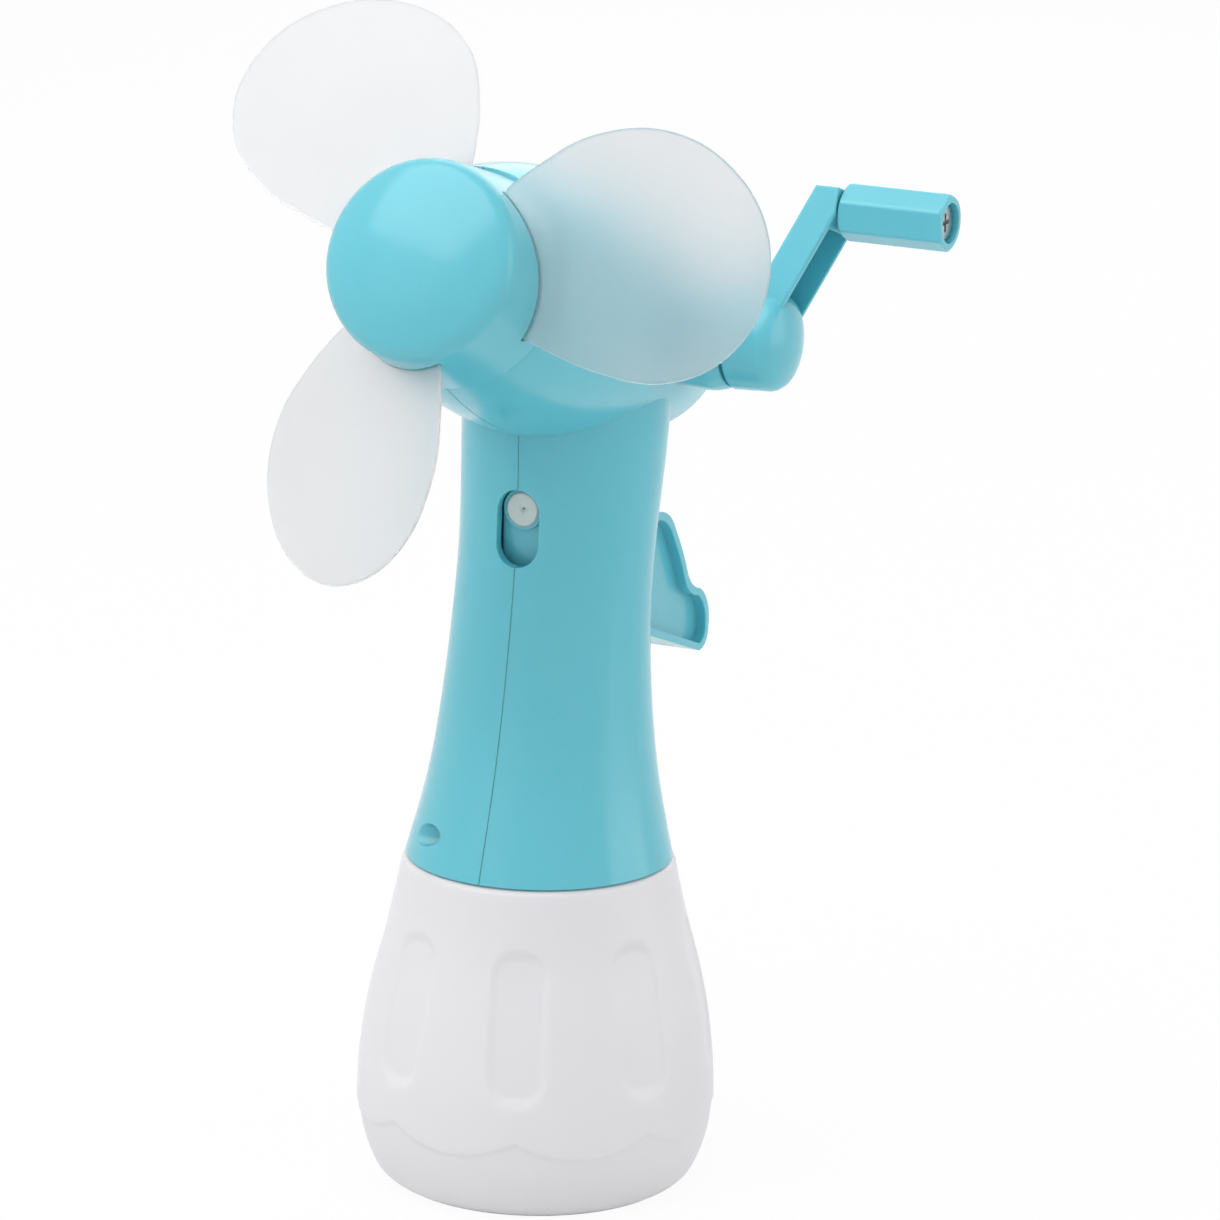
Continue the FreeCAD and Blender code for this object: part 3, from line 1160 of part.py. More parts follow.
make_bottle()
make_shells()
make_shell_screws()
make_drive_gear()
make_idler()
make_fan_pinion()
make_shafts()
make_crank_arm()
make_knob()
make_fan()
make_trigger()
make_actuator()
make_pump()
doc.recompute()

for item in doc.Objects:
    check(item)
os.makedirs("parts", exist_ok=True)
for subpart in subparts:
    shape = subpart.Shape
    if shape.isNull() or not shape.isValid() or not shape.Solids:
        raise RuntimeError(f"{subpart.Label} has no valid solid")
for subpart in subparts:
    subpart.Shape.exportStep(f"parts/{subpart.Label}.step")
    print(f"{subpart.Label}: {len(subpart.Shape.Solids)} solid, {subpart.Shape.Volume:.1f} mm3")
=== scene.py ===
"""Looks of the crank-driven misting fan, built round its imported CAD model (metres, +Z up).

The CAD model gives the pieces their shapes. Here each piece gets its finish, and the fluted
bottle, the thread on its neck and the three blades get finer meshes.
"""
import json
import math

import bpy
from mathutils import Matrix, Vector


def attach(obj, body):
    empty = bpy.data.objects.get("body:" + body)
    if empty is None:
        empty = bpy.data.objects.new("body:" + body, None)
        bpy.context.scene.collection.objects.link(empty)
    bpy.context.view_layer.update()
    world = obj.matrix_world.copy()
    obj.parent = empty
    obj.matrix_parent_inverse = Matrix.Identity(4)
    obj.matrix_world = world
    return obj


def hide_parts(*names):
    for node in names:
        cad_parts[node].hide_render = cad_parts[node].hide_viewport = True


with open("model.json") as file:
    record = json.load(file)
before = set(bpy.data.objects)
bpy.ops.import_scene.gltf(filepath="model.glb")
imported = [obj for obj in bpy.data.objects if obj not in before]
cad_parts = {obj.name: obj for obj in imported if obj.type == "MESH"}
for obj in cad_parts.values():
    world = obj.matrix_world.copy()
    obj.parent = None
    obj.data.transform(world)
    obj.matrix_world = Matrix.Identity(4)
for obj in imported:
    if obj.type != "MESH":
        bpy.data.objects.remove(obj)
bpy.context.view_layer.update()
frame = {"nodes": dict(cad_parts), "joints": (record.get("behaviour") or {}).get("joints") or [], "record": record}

MM = 0.001
SLOT_OF_NODE = {row["node"]: row["material_slot"] for row in frame["record"]["subparts"]}
BODY_OF_NODE = {node: body for body, nodes in frame["record"]["behaviour"]["bodies"].items()
                for node in nodes}
JOINTS = {joint["name"]: joint for joint in frame["joints"]}

# ------------------------------------------------------------------ colours (linear)
TEAL = (0.120, 0.525, 0.625)
TEAL_DEEP = (0.090, 0.430, 0.510)
BOTTLE_WHITE = (0.770, 0.760, 0.785)
# the white parts' plastic is made grey and teal-tinted: painted shade of the slot and a painted teal reflection of
# the shell, as seen on the nozzle disc
WHITE_PART_SHADED_TEAL = (0.560, 0.640, 0.630)
BLADE_WHITE = (0.840, 0.850, 0.860)
ACETAL = (0.780, 0.750, 0.660)
TUBE_CLEAR = (0.800, 0.840, 0.850)
TUBE_DEEP = (0.700, 0.740, 0.750)
STEEL = (0.560, 0.560, 0.570)
BRASS = (0.720, 0.520, 0.220)
RUBBER = (0.060, 0.060, 0.065)
FLOOR_GREY = (0.800, 0.800, 0.800)
FLOOR_PALE = (0.820, 0.820, 0.820)
WHITE = (1.0, 1.0, 1.0, 1.0)

# radius that a moulded edge seems to have
SOFT_EDGE = 0.4 * MM


# ------------------------------------------------------------------ materials
class Finish:
    """A material's node tree, with short calls for the nodes that are used here."""

    def __init__(self, name):
        self.material = bpy.data.materials.new(name)
        self.material.use_nodes = True
        self.tree = self.material.node_tree
        self.shader = self.tree.nodes["Principled BSDF"]
        self.place = self.add("ShaderNodeTexCoord").outputs["Object"]

    def add(self, kind, **settings):
        """New node of a kind, with its settings."""
        node = self.tree.nodes.new(kind)
        for key, value in settings.items():
            setattr(node, key, value)
        return node

    def link(self, source, target):
        """Join an output to an input."""
        self.tree.links.new(source, target)

    def drive(self, socket, source):
        """Let an output steer one of the shader's sockets."""
        self.link(source, self.shader.inputs[socket])

    def noise(self, scale, detail, rough=0.5, stretch=(1, 1, 1)):
        """Soft random pattern with about scale blotches to the metre."""
        mapping = self.add("ShaderNodeMapping")
        mapping.inputs["Scale"].default_value = stretch
        self.link(self.place, mapping.inputs["Vector"])
        noise = self.add("ShaderNodeTexNoise")
        noise.inputs["Scale"].default_value = scale
        noise.inputs["Detail"].default_value = detail
        noise.inputs["Roughness"].default_value = rough
        self.link(mapping.outputs["Vector"], noise.inputs["Vector"])
        return noise.outputs["Fac"]

    def spread(self, source, low=0.0, high=1.0, start=0.35, end=0.65):
        """Map the values of a noise from start to end onto the range low to high."""
        node = self.add("ShaderNodeMapRange")
        node.inputs["From Min"].default_value = start
        node.inputs["From Max"].default_value = end
        node.inputs["To Min"].default_value = low
        node.inputs["To Max"].default_value = high
        self.link(source, node.inputs["Value"])
        return node.outputs["Result"]

    def mix(self, factor, first, second):
        """Blend two colours, each a fixed colour or an output."""
        node = self.add("ShaderNodeMix", data_type="RGBA")
        self.link(factor, node.inputs["Factor"])
        for socket, colour in ((node.inputs["A"], first), (node.inputs["B"], second)):
            if isinstance(colour, tuple):
                socket.default_value = (*colour, 1)
            else:
                self.link(colour, socket)
        return node.outputs["Result"]

    def bump(self, height, strength, distance, below=None):
        """Raise the surface by a pattern, on top of the normal below."""
        node = self.add("ShaderNodeBump")
        node.inputs["Strength"].default_value = strength
        node.inputs["Distance"].default_value = distance
        self.link(height, node.inputs["Height"])
        if below is not None:
            self.link(below, node.inputs["Normal"])
        return node.outputs["Normal"]

    def rounded_edges(self, radius):
        """Normal of a surface whose sharp edges look rounded."""
        node = self.add("ShaderNodeBevel", samples=4)
        node.inputs["Radius"].default_value = radius
        return node.outputs["Normal"]

    def set(self, **values):
        """Set sockets of the shader to values that are the same all over."""
        for key, value in values.items():
            self.shader.inputs[key.replace("_", " ")].default_value = value


def tint(colour, factor):
    """The colour made darker or paler by a factor."""
    return tuple(min(1.0, channel * factor) for channel in colour)


def moulded_plastic(name, colour, deep, rough, glow, gloss=1.49):
    """Injection-moulded plastic: faint flow marks, satin patches, a fine moulded grain, a few
    deeper specks and edges that are a little rounded. Glow is the light that passes under the
    surface, and gloss the refractive index."""
    look = Finish(name)
    flow = look.noise(scale=18, detail=2, rough=0.45, stretch=(1, 1, 0.35))
    satin = look.noise(scale=60, detail=3)
    grain = look.spread(look.noise(scale=240, detail=2))
    specks = look.spread(look.noise(scale=900, detail=1), high=0.22, start=0.66, end=0.80)
    streaked = look.mix(flow, tint(colour, 0.975), tint(colour, 1.02))
    look.drive("Base Color", look.mix(specks, streaked, deep))
    look.drive("Roughness", look.spread(satin, low=rough - 0.05, high=rough + 0.06))
    swell = look.bump(flow, strength=0.05, distance=0.6 * MM,
                      below=look.rounded_edges(SOFT_EDGE))
    look.drive("Normal", look.bump(grain, strength=0.25, distance=0.04 * MM, below=swell))
    look.set(Subsurface_Weight=glow, Subsurface_Radius=(0.4, 1.0, 0.95),
             Subsurface_Scale=3 * MM, IOR=gloss)
    return look.material


def bottle_plastic():
    """Blown polyethylene: milky, softly glossy, with slow waves and a fine grain."""
    look = Finish("bottle_plastic")
    cloud = look.spread(look.noise(scale=22, detail=3))
    satin = look.noise(scale=80, detail=3)
    look.drive("Base Color", look.mix(cloud, tint(BOTTLE_WHITE, 0.985), tint(BOTTLE_WHITE, 1.01)))
    look.drive("Roughness", look.spread(satin, low=0.36, high=0.46))
    waves = look.bump(look.noise(scale=35, detail=2), strength=0.12, distance=0.8 * MM)
    grain = look.bump(look.noise(scale=420, detail=2), strength=0.18, distance=0.04 * MM,
                      below=waves)
    look.drive("Normal", grain)
    look.set(Subsurface_Weight=0.25, Subsurface_Radius=(1.0, 0.95, 0.9),
             Subsurface_Scale=4 * MM, IOR=1.50)
    return look.material


def blade_plastic():
    """Frosted soft plastic that lets a blurred light through, with faint moulding streaks."""
    look = Finish("blade_plastic")
    streaks = look.spread(look.noise(scale=30, detail=3, stretch=(1, 0.3, 1)))
    frost = look.noise(scale=70, detail=3)
    look.drive("Base Color", look.mix(streaks, tint(BLADE_WHITE, 0.98), BLADE_WHITE))
    look.drive("Roughness", look.spread(frost, low=0.46, high=0.55))
    look.drive("Normal", look.bump(look.noise(scale=700, detail=2), strength=0.2,
                                   distance=0.05 * MM))
    look.set(Transmission_Weight=0.84, IOR=1.28)
    return look.material


def brushed_metal(name, colour, rough, stretch):
    """Turned or plated metal with fine lines one way."""
    look = Finish(name)
    lines = look.noise(scale=500, detail=3, rough=0.6, stretch=stretch)
    wear = look.noise(scale=150, detail=3)
    shade = look.mix(look.spread(lines), tint(colour, 0.85), tint(colour, 1.05))
    look.drive("Base Color", shade)
    look.drive("Roughness", look.spread(wear, low=rough - 0.06, high=rough + 0.08))
    look.drive("Normal", look.bump(lines, strength=0.25, distance=0.03 * MM))
    look.set(Metallic=1.0)
    return look.material


def soft_rubber():
    """Dull dark rubber with a dusty, slightly pitted skin."""
    look = Finish("seal_rubber")
    dust = look.spread(look.noise(scale=120, detail=3))
    look.drive("Base Color", look.mix(dust, tint(RUBBER, 0.8), tint(RUBBER, 1.3)))
    look.drive("Normal", look.bump(look.noise(scale=600, detail=2), strength=0.3,
                                   distance=0.05 * MM))
    look.set(Roughness=0.75)
    return look.material


MATERIALS = {
    "shell_plastic": moulded_plastic("shell_plastic", TEAL, TEAL_DEEP, rough=0.21, glow=0.3,
                                     gloss=1.54),
    "bottle_plastic": bottle_plastic(),
    "blade_plastic": blade_plastic(),
    # the white parts' colour holds painted shade and a painted teal reflection, not only the plastic's own white
    "white_plastic": moulded_plastic("white_plastic", WHITE_PART_SHADED_TEAL, tint(WHITE_PART_SHADED_TEAL, 0.8),
                                     rough=0.42, glow=0.1),
    "gear_plastic": moulded_plastic("gear_plastic", ACETAL, tint(ACETAL, 0.8), rough=0.45,
                                    glow=0.1),
    "tube_plastic": moulded_plastic("tube_plastic", TUBE_CLEAR, TUBE_DEEP, rough=0.3, glow=0.2),
    "steel": brushed_metal("steel", STEEL, rough=0.30, stretch=(1, 1, 8)),
    "spring_steel": brushed_metal("spring_steel", tint(STEEL, 1.2), rough=0.22,
                                  stretch=(1, 1, 6)),
    "bush_brass": brushed_metal("bush_brass", BRASS, rough=0.34, stretch=(4, 4, 1)),
    "seal_rubber": soft_rubber(),
}


def paint_nodes():
    """Give every CAD node the material of its slot in the record."""
    for node, item in frame["nodes"].items():
        item.data.materials.clear()
        item.data.materials.append(MATERIALS[SLOT_OF_NODE[node]])


# ------------------------------------------------------------------ mesh helpers
def new_piece(name, vertices, faces, smooth=False):
    """Object from a list of corners, in metres, and a list of faces."""
    mesh = bpy.data.meshes.new(name)
    mesh.from_pydata(vertices, [], faces)
    mesh.polygons.foreach_set("use_smooth", [smooth] * len(mesh.polygons))
    mesh.update()
    piece = bpy.data.objects.new(name, mesh)
    bpy.context.collection.objects.link(piece)
    return piece


def ride_as(piece, node):
    """Give a piece the plastic and the body of a CAD node."""
    slot = SLOT_OF_NODE[node]
    piece.data.materials.append(MATERIALS[slot])
    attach(piece, BODY_OF_NODE[node])


def arc_points(start, end, radius, count):
    """Points after start up to end; a positive radius bulges to the right of travel."""
    start, end = Vector(start), Vector(end)
    if not radius:
        return [start.lerp(end, step / count) for step in range(1, count + 1)]
    chord = end - start
    middle = (start + end) / 2
    side = math.copysign(1, radius)
    away = math.sqrt(max(radius * radius - chord.length_squared / 4, 0))
    left = Vector((-chord.y, chord.x)).normalized()
    centre = middle + left * away * side
    swing = 2 * math.asin(chord.length / 2 / abs(radius)) * side
    spoke = start - centre
    points = []
    for step in range(1, count + 1):
        turn = swing * step / count
        points.append(centre + Vector((spoke.x * math.cos(turn) - spoke.y * math.sin(turn),
                                       spoke.x * math.sin(turn) + spoke.y * math.cos(turn))))
    return points


def outline_points(corners, spacing):
    """Outline through (across, up, radius of the arc that leads there), evenly filled."""
    points = [Vector(corners[0][:2])]
    for across, up, radius in corners[1:]:
        start, end = points[-1], Vector((across, up))
        count = max(1, round((end - start).length / spacing))
        points += arc_points(start, end, radius, count)
    return points


# a point of an outline that is nearer to the axis than this, in metres, lies on it
ON_AXIS = 1e-6


def lathe(name, outline, around, inset):
    """Solid of revolution about Z. The outline runs from the axis back to the axis, and inset
    gives how far a point at (angle, radius, height) stands in."""
    vertices, faces, rings = [], [], []
    for radius, height in outline:
        if radius < ON_AXIS:
            rings.append([len(vertices)])
            vertices.append((0, 0, height))
            continue
        rings.append(list(range(len(vertices), len(vertices) + around)))
        for step in range(around):
            angle = 2 * math.pi * step / around
            reach = radius - inset(angle, radius, height)
            vertices.append((reach * math.cos(angle), reach * math.sin(angle), height))
    for lower, upper in zip(rings, rings[1:]):
        for step in range(around):
            after = (step + 1) % around
            corner = [lower[step % len(lower)], lower[after % len(lower)],
                      upper[after % len(upper)], upper[step % len(upper)]]
            faces.append(tuple(dict.fromkeys(corner)))
    return new_piece(name, vertices, faces, smooth=True)


def smooth_step(value, start, end):
    """0 before start, 1 after end, and a smooth rise between them."""
    share = min(1, max(0, (value - start) / (end - start)))
    return share * share * (3 - 2 * share)


# ------------------------------------------------------------------ bottle (millimetres)
# widest radius, radii of the neck and of the bore in it, and height of the mouth
BELLY, NECK, BORE, MOUTH = 38.6, 12.6, 10.8, 86
# Half of the section: distance from the axis, height, and the radius of the arc that leads
# there, or 0 for a straight line. It goes up the outside and down the inside.
BOTTLE_FOOT = [(0, 0.5, 0), (21, 0.5, 0), (22.5, 0, 0), (29.4, 0, 0), (35.3, 3.8, 6.8)]
BOTTLE_BELLY = [(BELLY, 18, 32), (33.75, 52, 125), (29.4, 70.4, -195)]
BOTTLE_SHOULDER = [(28.9, 71.2, 1.2), (28, 71.7, 1.4), (NECK, 71.7, 0)]
BOTTLE_NECK = [(NECK, MOUTH - 0.4, 0), (NECK - 0.4, MOUTH, 0), (BORE + 0.3, MOUTH, 0),
               (BORE, MOUTH - 0.3, 0), (BORE, 70, 0)]
BOTTLE_INSIDE = [(27, 69.4, 0), (31.6, 52, 0), (36.2, 20, 0), (33, 5, 0), (28, 2, 0), (0, 2, 0)]
BOTTLE_WALL = BOTTLE_FOOT + BOTTLE_BELLY + BOTTLE_SHOULDER + BOTTLE_NECK + BOTTLE_INSIDE
# distance between the rings of the mesh, and points in each ring
BOTTLE_SPACING = 0.5
BOTTLE_AROUND = 400

FLUTES = 8
# how far the middle between two flutes is turned from the front
FLUTE_TURN = math.radians(2.7)
FLUTE_LOW, FLUTE_HIGH, FLUTE_WIDTH, FLUTE_DEPTH = 25.6, 60.5, 13.0, 0.95
# the slope into a flute is long at its two ends and short at its sides
FLUTE_END_EDGE, FLUTE_SIDE_EDGE = 3.6, 1.5
SCALLOP_LOW, SCALLOP_SAG, SCALLOP_DEPTH, SCALLOP_EDGE = 15.2, 3.8, 0.45, 0.9
# flutes and scallops shape the wall only outside this radius and between these heights
SHAPED_OUTSIDE, SHAPED_LOW, SHAPED_HIGH = 29, 0.3, 68


def flute_inset(turn, radius, height):
    """Depth of the nearest flute, whose floor is flat across; turn is the angle from its
    middle."""
    reach = FLUTE_WIDTH / 2
    straight_half = (FLUTE_HIGH - FLUTE_LOW) / 2 - reach
    aside = abs(radius * turn)
    beyond = max(abs(height - (FLUTE_LOW + FLUTE_HIGH) / 2) - straight_half, 0)
    away = math.hypot(aside, beyond)
    if away >= reach:
        return 0
    endwise = (beyond / away) ** 2 if away else 0
    edge = FLUTE_SIDE_EDGE + (FLUTE_END_EDGE - FLUTE_SIDE_EDGE) * endwise
    floor = max(radius - (radius - FLUTE_DEPTH) / math.cos(turn), 0)
    return floor * (1 - smooth_step(away - reach, -edge, 0))


def foot_inset(turn, height):
    """Depth of the step round the foot; turn is the angle from the middle of a scallop."""
    half = BELLY * math.sin(math.pi / FLUTES)
    bend = (half * half + SCALLOP_SAG * SCALLOP_SAG) / (2 * SCALLOP_SAG)
    across = BELLY * math.sin(turn)
    line = SCALLOP_LOW + bend - math.sqrt(bend * bend - across * across)
    return SCALLOP_DEPTH * (1 - smooth_step(height, line - SCALLOP_EDGE, line))


def bottle_inset(angle, radius, height):
    """How far the wall stands in, in metres; only the outer wall below the shoulder does."""
    radius, height = radius / MM, height / MM
    if radius < SHAPED_OUTSIDE or not SHAPED_LOW < height < SHAPED_HIGH:
        return 0
    step = 2 * math.pi / FLUTES
    from_front = angle + math.pi / 2 + FLUTE_TURN
    to_scallop = (from_front + step / 2) % step - step / 2
    to_flute = from_front % step - step / 2
    depth = max(flute_inset(to_flute, radius, height), foot_inset(to_scallop, height))
    return depth * MM


def make_bottle():
    """Fluted bottle with a scalloped step round its foot."""
    outline = [point * MM for point in outline_points(BOTTLE_WALL, BOTTLE_SPACING)]
    wall = lathe("bottle_wall", outline, BOTTLE_AROUND, bottle_inset)
    ride_as(wall, "bottle")
    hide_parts("bottle")


THREAD_START, THREAD_PITCH, THREAD_TURNS = 77.5, 3.5, 1.5
THREAD_ROOT, THREAD_CREST, THREAD_HALF, THREAD_FLAT = 12.3, 13.7, 1.1, 0.3
THREAD_STEPS = 160
# share of the ridge's length over which it fades at each end
THREAD_FADE = 0.08


def thread_section(crest):
    """Four corners of the ridge's section: distance from the axis, and height from its middle."""
    return ((THREAD_ROOT, -THREAD_HALF), (crest, -THREAD_FLAT), (crest, THREAD_FLAT),
            (THREAD_ROOT, THREAD_HALF))


def make_thread():
    """Right-hand ridge round the bottle's neck that fades in and out at its ends."""
    vertices, faces = [], []
    sides = len(thread_section(THREAD_CREST))
    for step in range(THREAD_STEPS + 1):
        share = step / THREAD_STEPS
        angle = 2 * math.pi * THREAD_TURNS * share
        rise = smooth_step(min(share, 1 - share), 0, THREAD_FADE)
        crest = THREAD_ROOT + (THREAD_CREST - THREAD_ROOT) * rise
        middle = THREAD_START + THREAD_PITCH * THREAD_TURNS * share
        for radius, up in thread_section(crest):
            vertices.append((radius * math.cos(angle) * MM, radius * math.sin(angle) * MM,
                             (middle + up) * MM))
    for step in range(THREAD_STEPS):
        low, high = step * sides, (step + 1) * sides
        for side in range(sides):
            after = (side + 1) % sides
            faces.append((low + side, high + side, high + after, low + after))
    first_end = tuple(range(sides))
    last_end = tuple(THREAD_STEPS * sides + side for side in reversed(range(sides)))
    faces += [first_end, last_end]
    ride_as(new_piece("neck_thread", vertices, faces), "bottle")


# ------------------------------------------------------------------ fan (millimetres)
FAN_AXIS = Vector(JOINTS["fan_spin"]["axis"])
# where the fan's axis meets the plane of the head's rim, in metres
HUB_RIM = Vector(JOINTS["fan_spin"]["pos_m"])
HEAD_TILT = math.asin(FAN_AXIS.z)
HEAD_TURN = Matrix.Rotation(math.pi / 2 - HEAD_TILT, 4, "X")

# A blade's outline seen square on: distance from the fan's axis, and place across. The smooth
# edge runs from one side of the root round the tip to the other, and the root is straight.
BLADE_EDGE = [(17.5, 15.2), (24.5, 19.6), (34, 24.2), (46, 25.6), (56.5, 22.4), (64.2, 15.6),
              (68.8, 7), (69.8, -2.6), (67.4, -12), (61.5, -20), (53, -25.2), (42.8, -26.4),
              (32.5, -23.6), (24.6, -20), (17.5, -15.8)]
BLADE_ROOT = [(9.2, -5.4), (9.2, 5.4)]
EDGE_STEPS, ROOT_STEPS = 10, 8
BLADE_MIDDLE = Vector((43, -0.4))
# how far the blades' middle plane stands in front of the rim
BLADE_AHEAD = 14.1
BLADE_PHASE, BLADE_PITCH, BLADE_SWEEP = math.radians(38.1), math.radians(23.8), math.radians(29)
# half the blade's thickness
BLADE_HALF = 0.5
# depth of the camber, and the distance from the blade's middle at which it is all reached
BLADE_CAMBER, CAMBER_REACH = 0.5, 27
BLADE_NODES = ("right_blade", "upper_blade", "lower_blade")
# distance in from the edge and share of the half thickness: a rounded rim
RIM = [(0, 0), (0.05, 0.4), (0.18, 0.75), (0.42, 0.95), (0.8, 1)]
# the rings further in, as shares of the way from the blade's middle to the rim
INNER_SHARES = [0.9, 0.75, 0.55, 0.3]


def through(points, steps):
    """Smooth open curve through points, with steps points to each stretch."""
    path = []
    for index in range(len(points) - 1):
        before = points[max(index - 1, 0)]
        start, end = points[index], points[index + 1]
        after = points[min(index + 2, len(points) - 1)]
        for step in range(steps):
            share = step / steps
            path.append(0.5 * (2 * start + (end - before) * share
                               + (2 * before - 5 * start + 4 * end - after) * share ** 2
                               + (3 * start - before - 3 * end + after) * share ** 3))
    path.append(points[-1])
    return path


def straight(points, steps):
    """The same for straight stretches, without the two ends."""
    path = []
    for start, end in zip(points, points[1:]):
        path += [start.lerp(end, step / steps) for step in range(steps)]
    return path[1:]


def blade_outline():
    """Closed outline of a blade, as points of the plane."""
    edge = through([Vector(point) for point in BLADE_EDGE], EDGE_STEPS)
    corners = [edge[-1]] + [Vector(point) for point in BLADE_ROOT] + [edge[0]]
    return edge + straight(corners, ROOT_STEPS)


def blade_rings():
    """Rings of (point, share of the half thickness), from the edge in to near the middle."""
    outline = blade_outline()
    rings = []
    for inward, share in RIM:
        ring = []
        for step, point in enumerate(outline):
            along = (outline[(step + 1) % len(outline)] - outline[step - 1]).normalized()
            ring.append((point + Vector((along.y, -along.x)) * inward, share))
        rings.append(ring)
    last = [point for point, _ in rings[-1]]
    for share in INNER_SHARES:
        rings.append([(BLADE_MIDDLE.lerp(point, share), 1) for point in last])
    return rings


def make_blade(index, node):
    """Flat soft petal with a rounded rim and a little camber."""
    rings = blade_rings()
    count = len(rings[0])
    vertices, faces = [], []

    def add(point, share, side):
        """Put a point on one side of the blade, at a share of its half thickness."""
        out = (point - BLADE_MIDDLE).length_squared / CAMBER_REACH ** 2
        lift = BLADE_CAMBER * (0.5 - min(out, 1)) + side * share * BLADE_HALF
        vertices.append((point.x * MM, point.y * MM, lift * MM))
        return len(vertices) - 1

    rim = [add(point, 0, 0) for point, _ in rings[0]]
    for side in (1, -1):
        outer = rim
        for ring in rings[1:]:
            inner = [add(point, share, side) for point, share in ring]
            for step in range(count):
                after = (step + 1) % count
                face = (outer[step], inner[step], inner[after], outer[after])
                faces.append(face if side > 0 else face[::-1])
            outer = inner
        middle = add(BLADE_MIDDLE, 1, side)
        for step in range(count):
            face = (outer[step], middle, outer[(step + 1) % count])
            faces.append(face if side > 0 else face[::-1])
    petal = new_piece(f"{node}_petal", vertices, faces, smooth=True)
    phase = BLADE_PHASE + index * 2 * math.pi / len(BLADE_NODES)
    turn = (HEAD_TURN @ Matrix.Rotation(phase, 4, "Z") @ Matrix.Rotation(BLADE_PITCH, 4, "X")
            @ Matrix.Rotation(-BLADE_SWEEP, 4, "Z"))
    petal.data.transform(Matrix.Translation(HUB_RIM + FAN_AXIS * BLADE_AHEAD * MM) @ turn)
    petal.data.update()
    ride_as(petal, node)
    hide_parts(node)


# ------------------------------------------------------------------ studio (metres)
FLOOR_HALF = 4.0
# share of the floor's white that the camera sees as plain white; the rest keeps the shadow
FLOOR_WHITE_SHARE = 0.94
# strength of the surround where it lights the object; where it is seen it is 1
WORLD_LEVEL = 0.55
LAMP_AIM = Vector((0, 0, 0.14))
# name, place, side of the square and power in watts
LAMPS = (
    ("top_softbox", (-0.25, -0.45, 1.2), 1.4, 12.6),
    ("side_softbox", (1.3, 0.5, 0.45), 1.1, 4.4),
    ("front_softbox", (-0.5, -1.1, 0.7), 1.0, 0.8),
    ("back_softbox", (-0.2, 1.3, 0.85), 1.2, 4.5),
)


def seen_directly(tree):
    """Output that is 1 where a camera, glossy or transmission ray arrives, and 0 elsewhere."""
    path = tree.nodes.new("ShaderNodeLightPath")
    seen = path.outputs["Is Camera Ray"]
    for ray in ("Is Glossy Ray", "Is Transmission Ray"):
        either = tree.nodes.new("ShaderNodeMath")
        either.operation = "MAXIMUM"
        tree.links.new(seen, either.inputs[0])
        tree.links.new(path.outputs[ray], either.inputs[1])
        seen = either.outputs["Value"]
    return seen


def floor_white():
    """Pale matt floor that is nearly white where it is seen and keeps a soft shadow."""
    look = Finish("studio_floor")
    cloud = look.spread(look.noise(scale=3, detail=2))
    look.drive("Base Color", look.mix(cloud, FLOOR_GREY, FLOOR_PALE))
    look.set(Roughness=0.9)
    glow = look.add("ShaderNodeEmission")
    glow.inputs["Color"].default_value = WHITE
    glow.inputs["Strength"].default_value = 1.0
    share = look.add("ShaderNodeMath", operation="MULTIPLY")
    share.inputs[1].default_value = FLOOR_WHITE_SHARE
    look.link(seen_directly(look.tree), share.inputs[0])
    blend = look.add("ShaderNodeMixShader")
    look.link(share.outputs["Value"], blend.inputs["Fac"])
    look.link(look.shader.outputs["BSDF"], blend.inputs[1])
    look.link(glow.outputs["Emission"], blend.inputs[2])
    look.link(blend.outputs["Shader"], look.tree.nodes["Material Output"].inputs["Surface"])
    return look.material


def make_floor():
    """Plain square floor under the object."""
    corners = [(-FLOOR_HALF, -FLOOR_HALF, 0), (FLOOR_HALF, -FLOOR_HALF, 0),
               (FLOOR_HALF, FLOOR_HALF, 0), (-FLOOR_HALF, FLOOR_HALF, 0)]
    floor = new_piece("studio_floor", corners, [(0, 1, 2, 3)])
    floor.data.materials.append(floor_white())


def make_world():
    """Even white surround: full white where it is seen, a plain level where it lights."""
    world = bpy.data.worlds.new("studio")
    bpy.context.scene.world = world
    world.use_nodes = True
    tree = world.node_tree
    background = tree.nodes["Background"]
    background.inputs["Color"].default_value = WHITE
    level = tree.nodes.new("ShaderNodeMapRange")
    level.inputs["To Min"].default_value = WORLD_LEVEL
    level.inputs["To Max"].default_value = 1.0
    tree.links.new(seen_directly(tree), level.inputs["Value"])
    tree.links.new(level.outputs["Result"], background.inputs["Strength"])


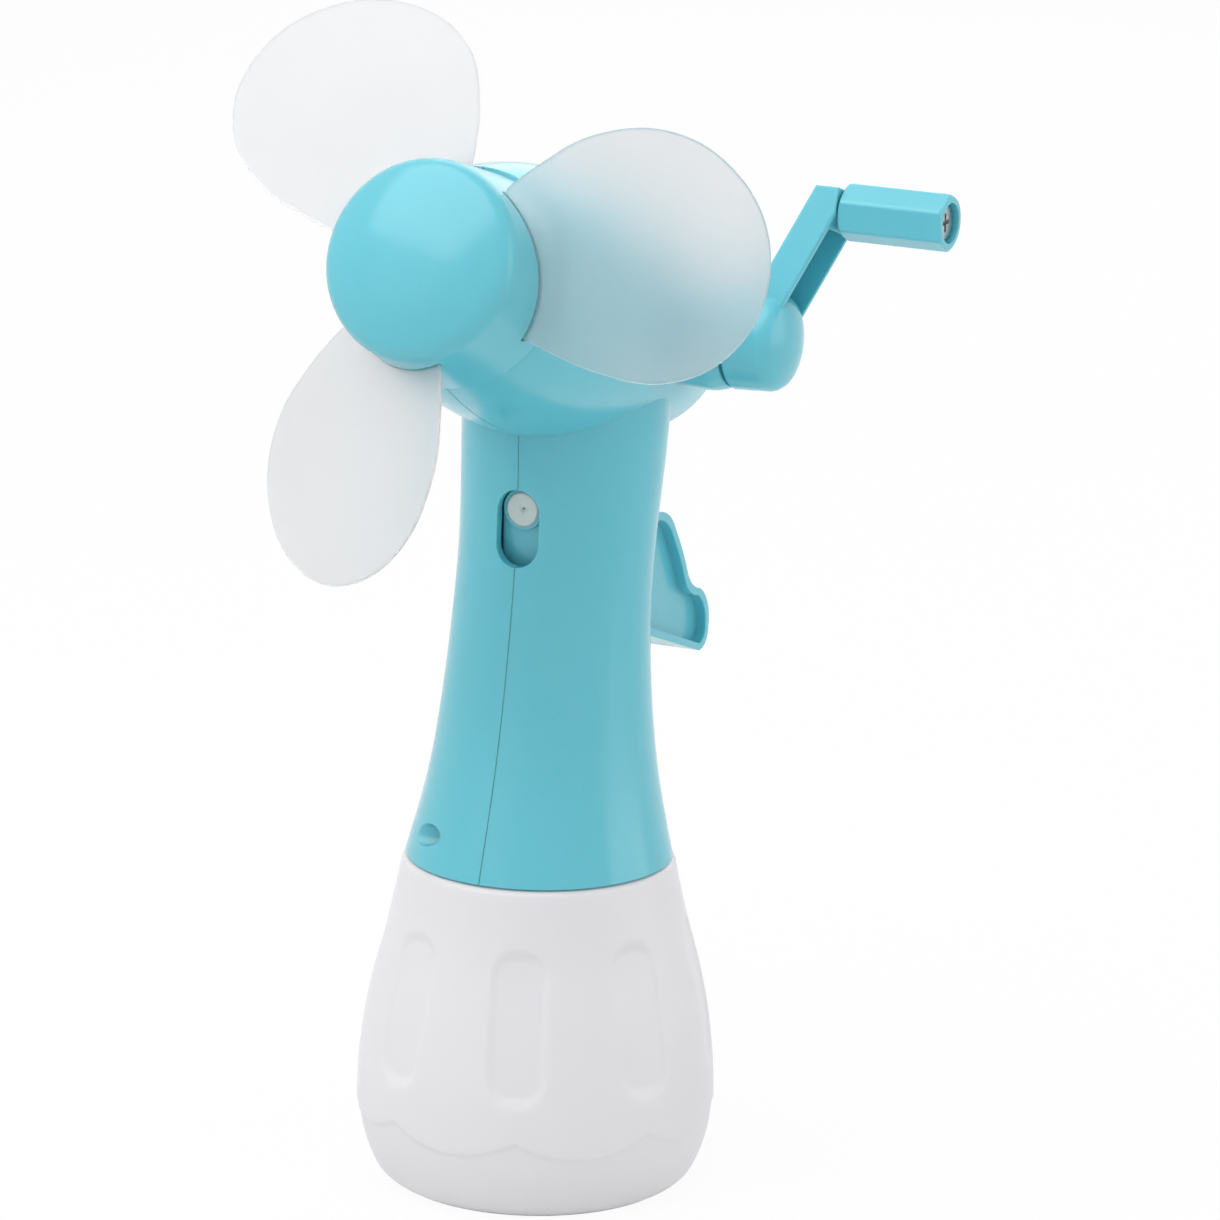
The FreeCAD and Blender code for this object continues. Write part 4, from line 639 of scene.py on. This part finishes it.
def soft_lamp(name, place, size, power):
    """Square softbox that looks at the middle of the object."""
    data = bpy.data.lights.new(name, "AREA")
    data.size = size
    data.energy = power
    lamp = bpy.data.objects.new(name, data)
    bpy.context.collection.objects.link(lamp)
    lamp.location = place
    lamp.rotation_euler = (LAMP_AIM - Vector(place)).to_track_quat("-Z", "Y").to_euler()


# The photograph's view: turned round +Z from the front, raised, and rolled a little. It looks
# at a point beside the axis and above the floor.
VIEW_TURN = math.radians(25.64)
VIEW_RISE = math.radians(14.79)
VIEW_ROLL = math.radians(1.07)
VIEW_DISTANCE = 1400.6 * MM
VIEW_ASIDE = 14.23 * MM
VIEW_UP = 125.77 * MM
# width of the sensor in millimetres, and the focal length as a multiple of it
SENSOR = 36.0
FOCAL_SHARE = 5.4003
CLIP_END = 20.0


def make_camera():
    """Camera at the photograph's viewing angle and framing."""
    back = Vector((math.sin(VIEW_TURN) * math.cos(VIEW_RISE),
                   -math.cos(VIEW_TURN) * math.cos(VIEW_RISE), math.sin(VIEW_RISE)))
    right = Vector((math.cos(VIEW_TURN), math.sin(VIEW_TURN), 0))
    up = back.cross(right)
    rolled_right = right * math.cos(VIEW_ROLL) + up * math.sin(VIEW_ROLL)
    rolled_up = up * math.cos(VIEW_ROLL) - right * math.sin(VIEW_ROLL)
    turn = Matrix((rolled_right, rolled_up, back)).transposed().to_4x4()
    data = bpy.data.cameras.new("camera")
    data.sensor_width = SENSOR
    data.lens = SENSOR * FOCAL_SHARE
    data.clip_end = CLIP_END
    camera = bpy.data.objects.new("camera", data)
    bpy.context.collection.objects.link(camera)
    aim = right * VIEW_ASIDE + Vector((0, 0, VIEW_UP))
    camera.matrix_world = Matrix.Translation(aim + back * VIEW_DISTANCE) @ turn
    bpy.context.scene.camera = camera


# ------------------------------------------------------------------ the whole scene
paint_nodes()
make_bottle()
make_thread()
for number, blade_node in enumerate(BLADE_NODES):
    make_blade(number, blade_node)
make_floor()
make_world()
for lamp_row in LAMPS:
    soft_lamp(*lamp_row)
make_camera()
bpy.context.scene.view_settings.view_transform = "Standard"
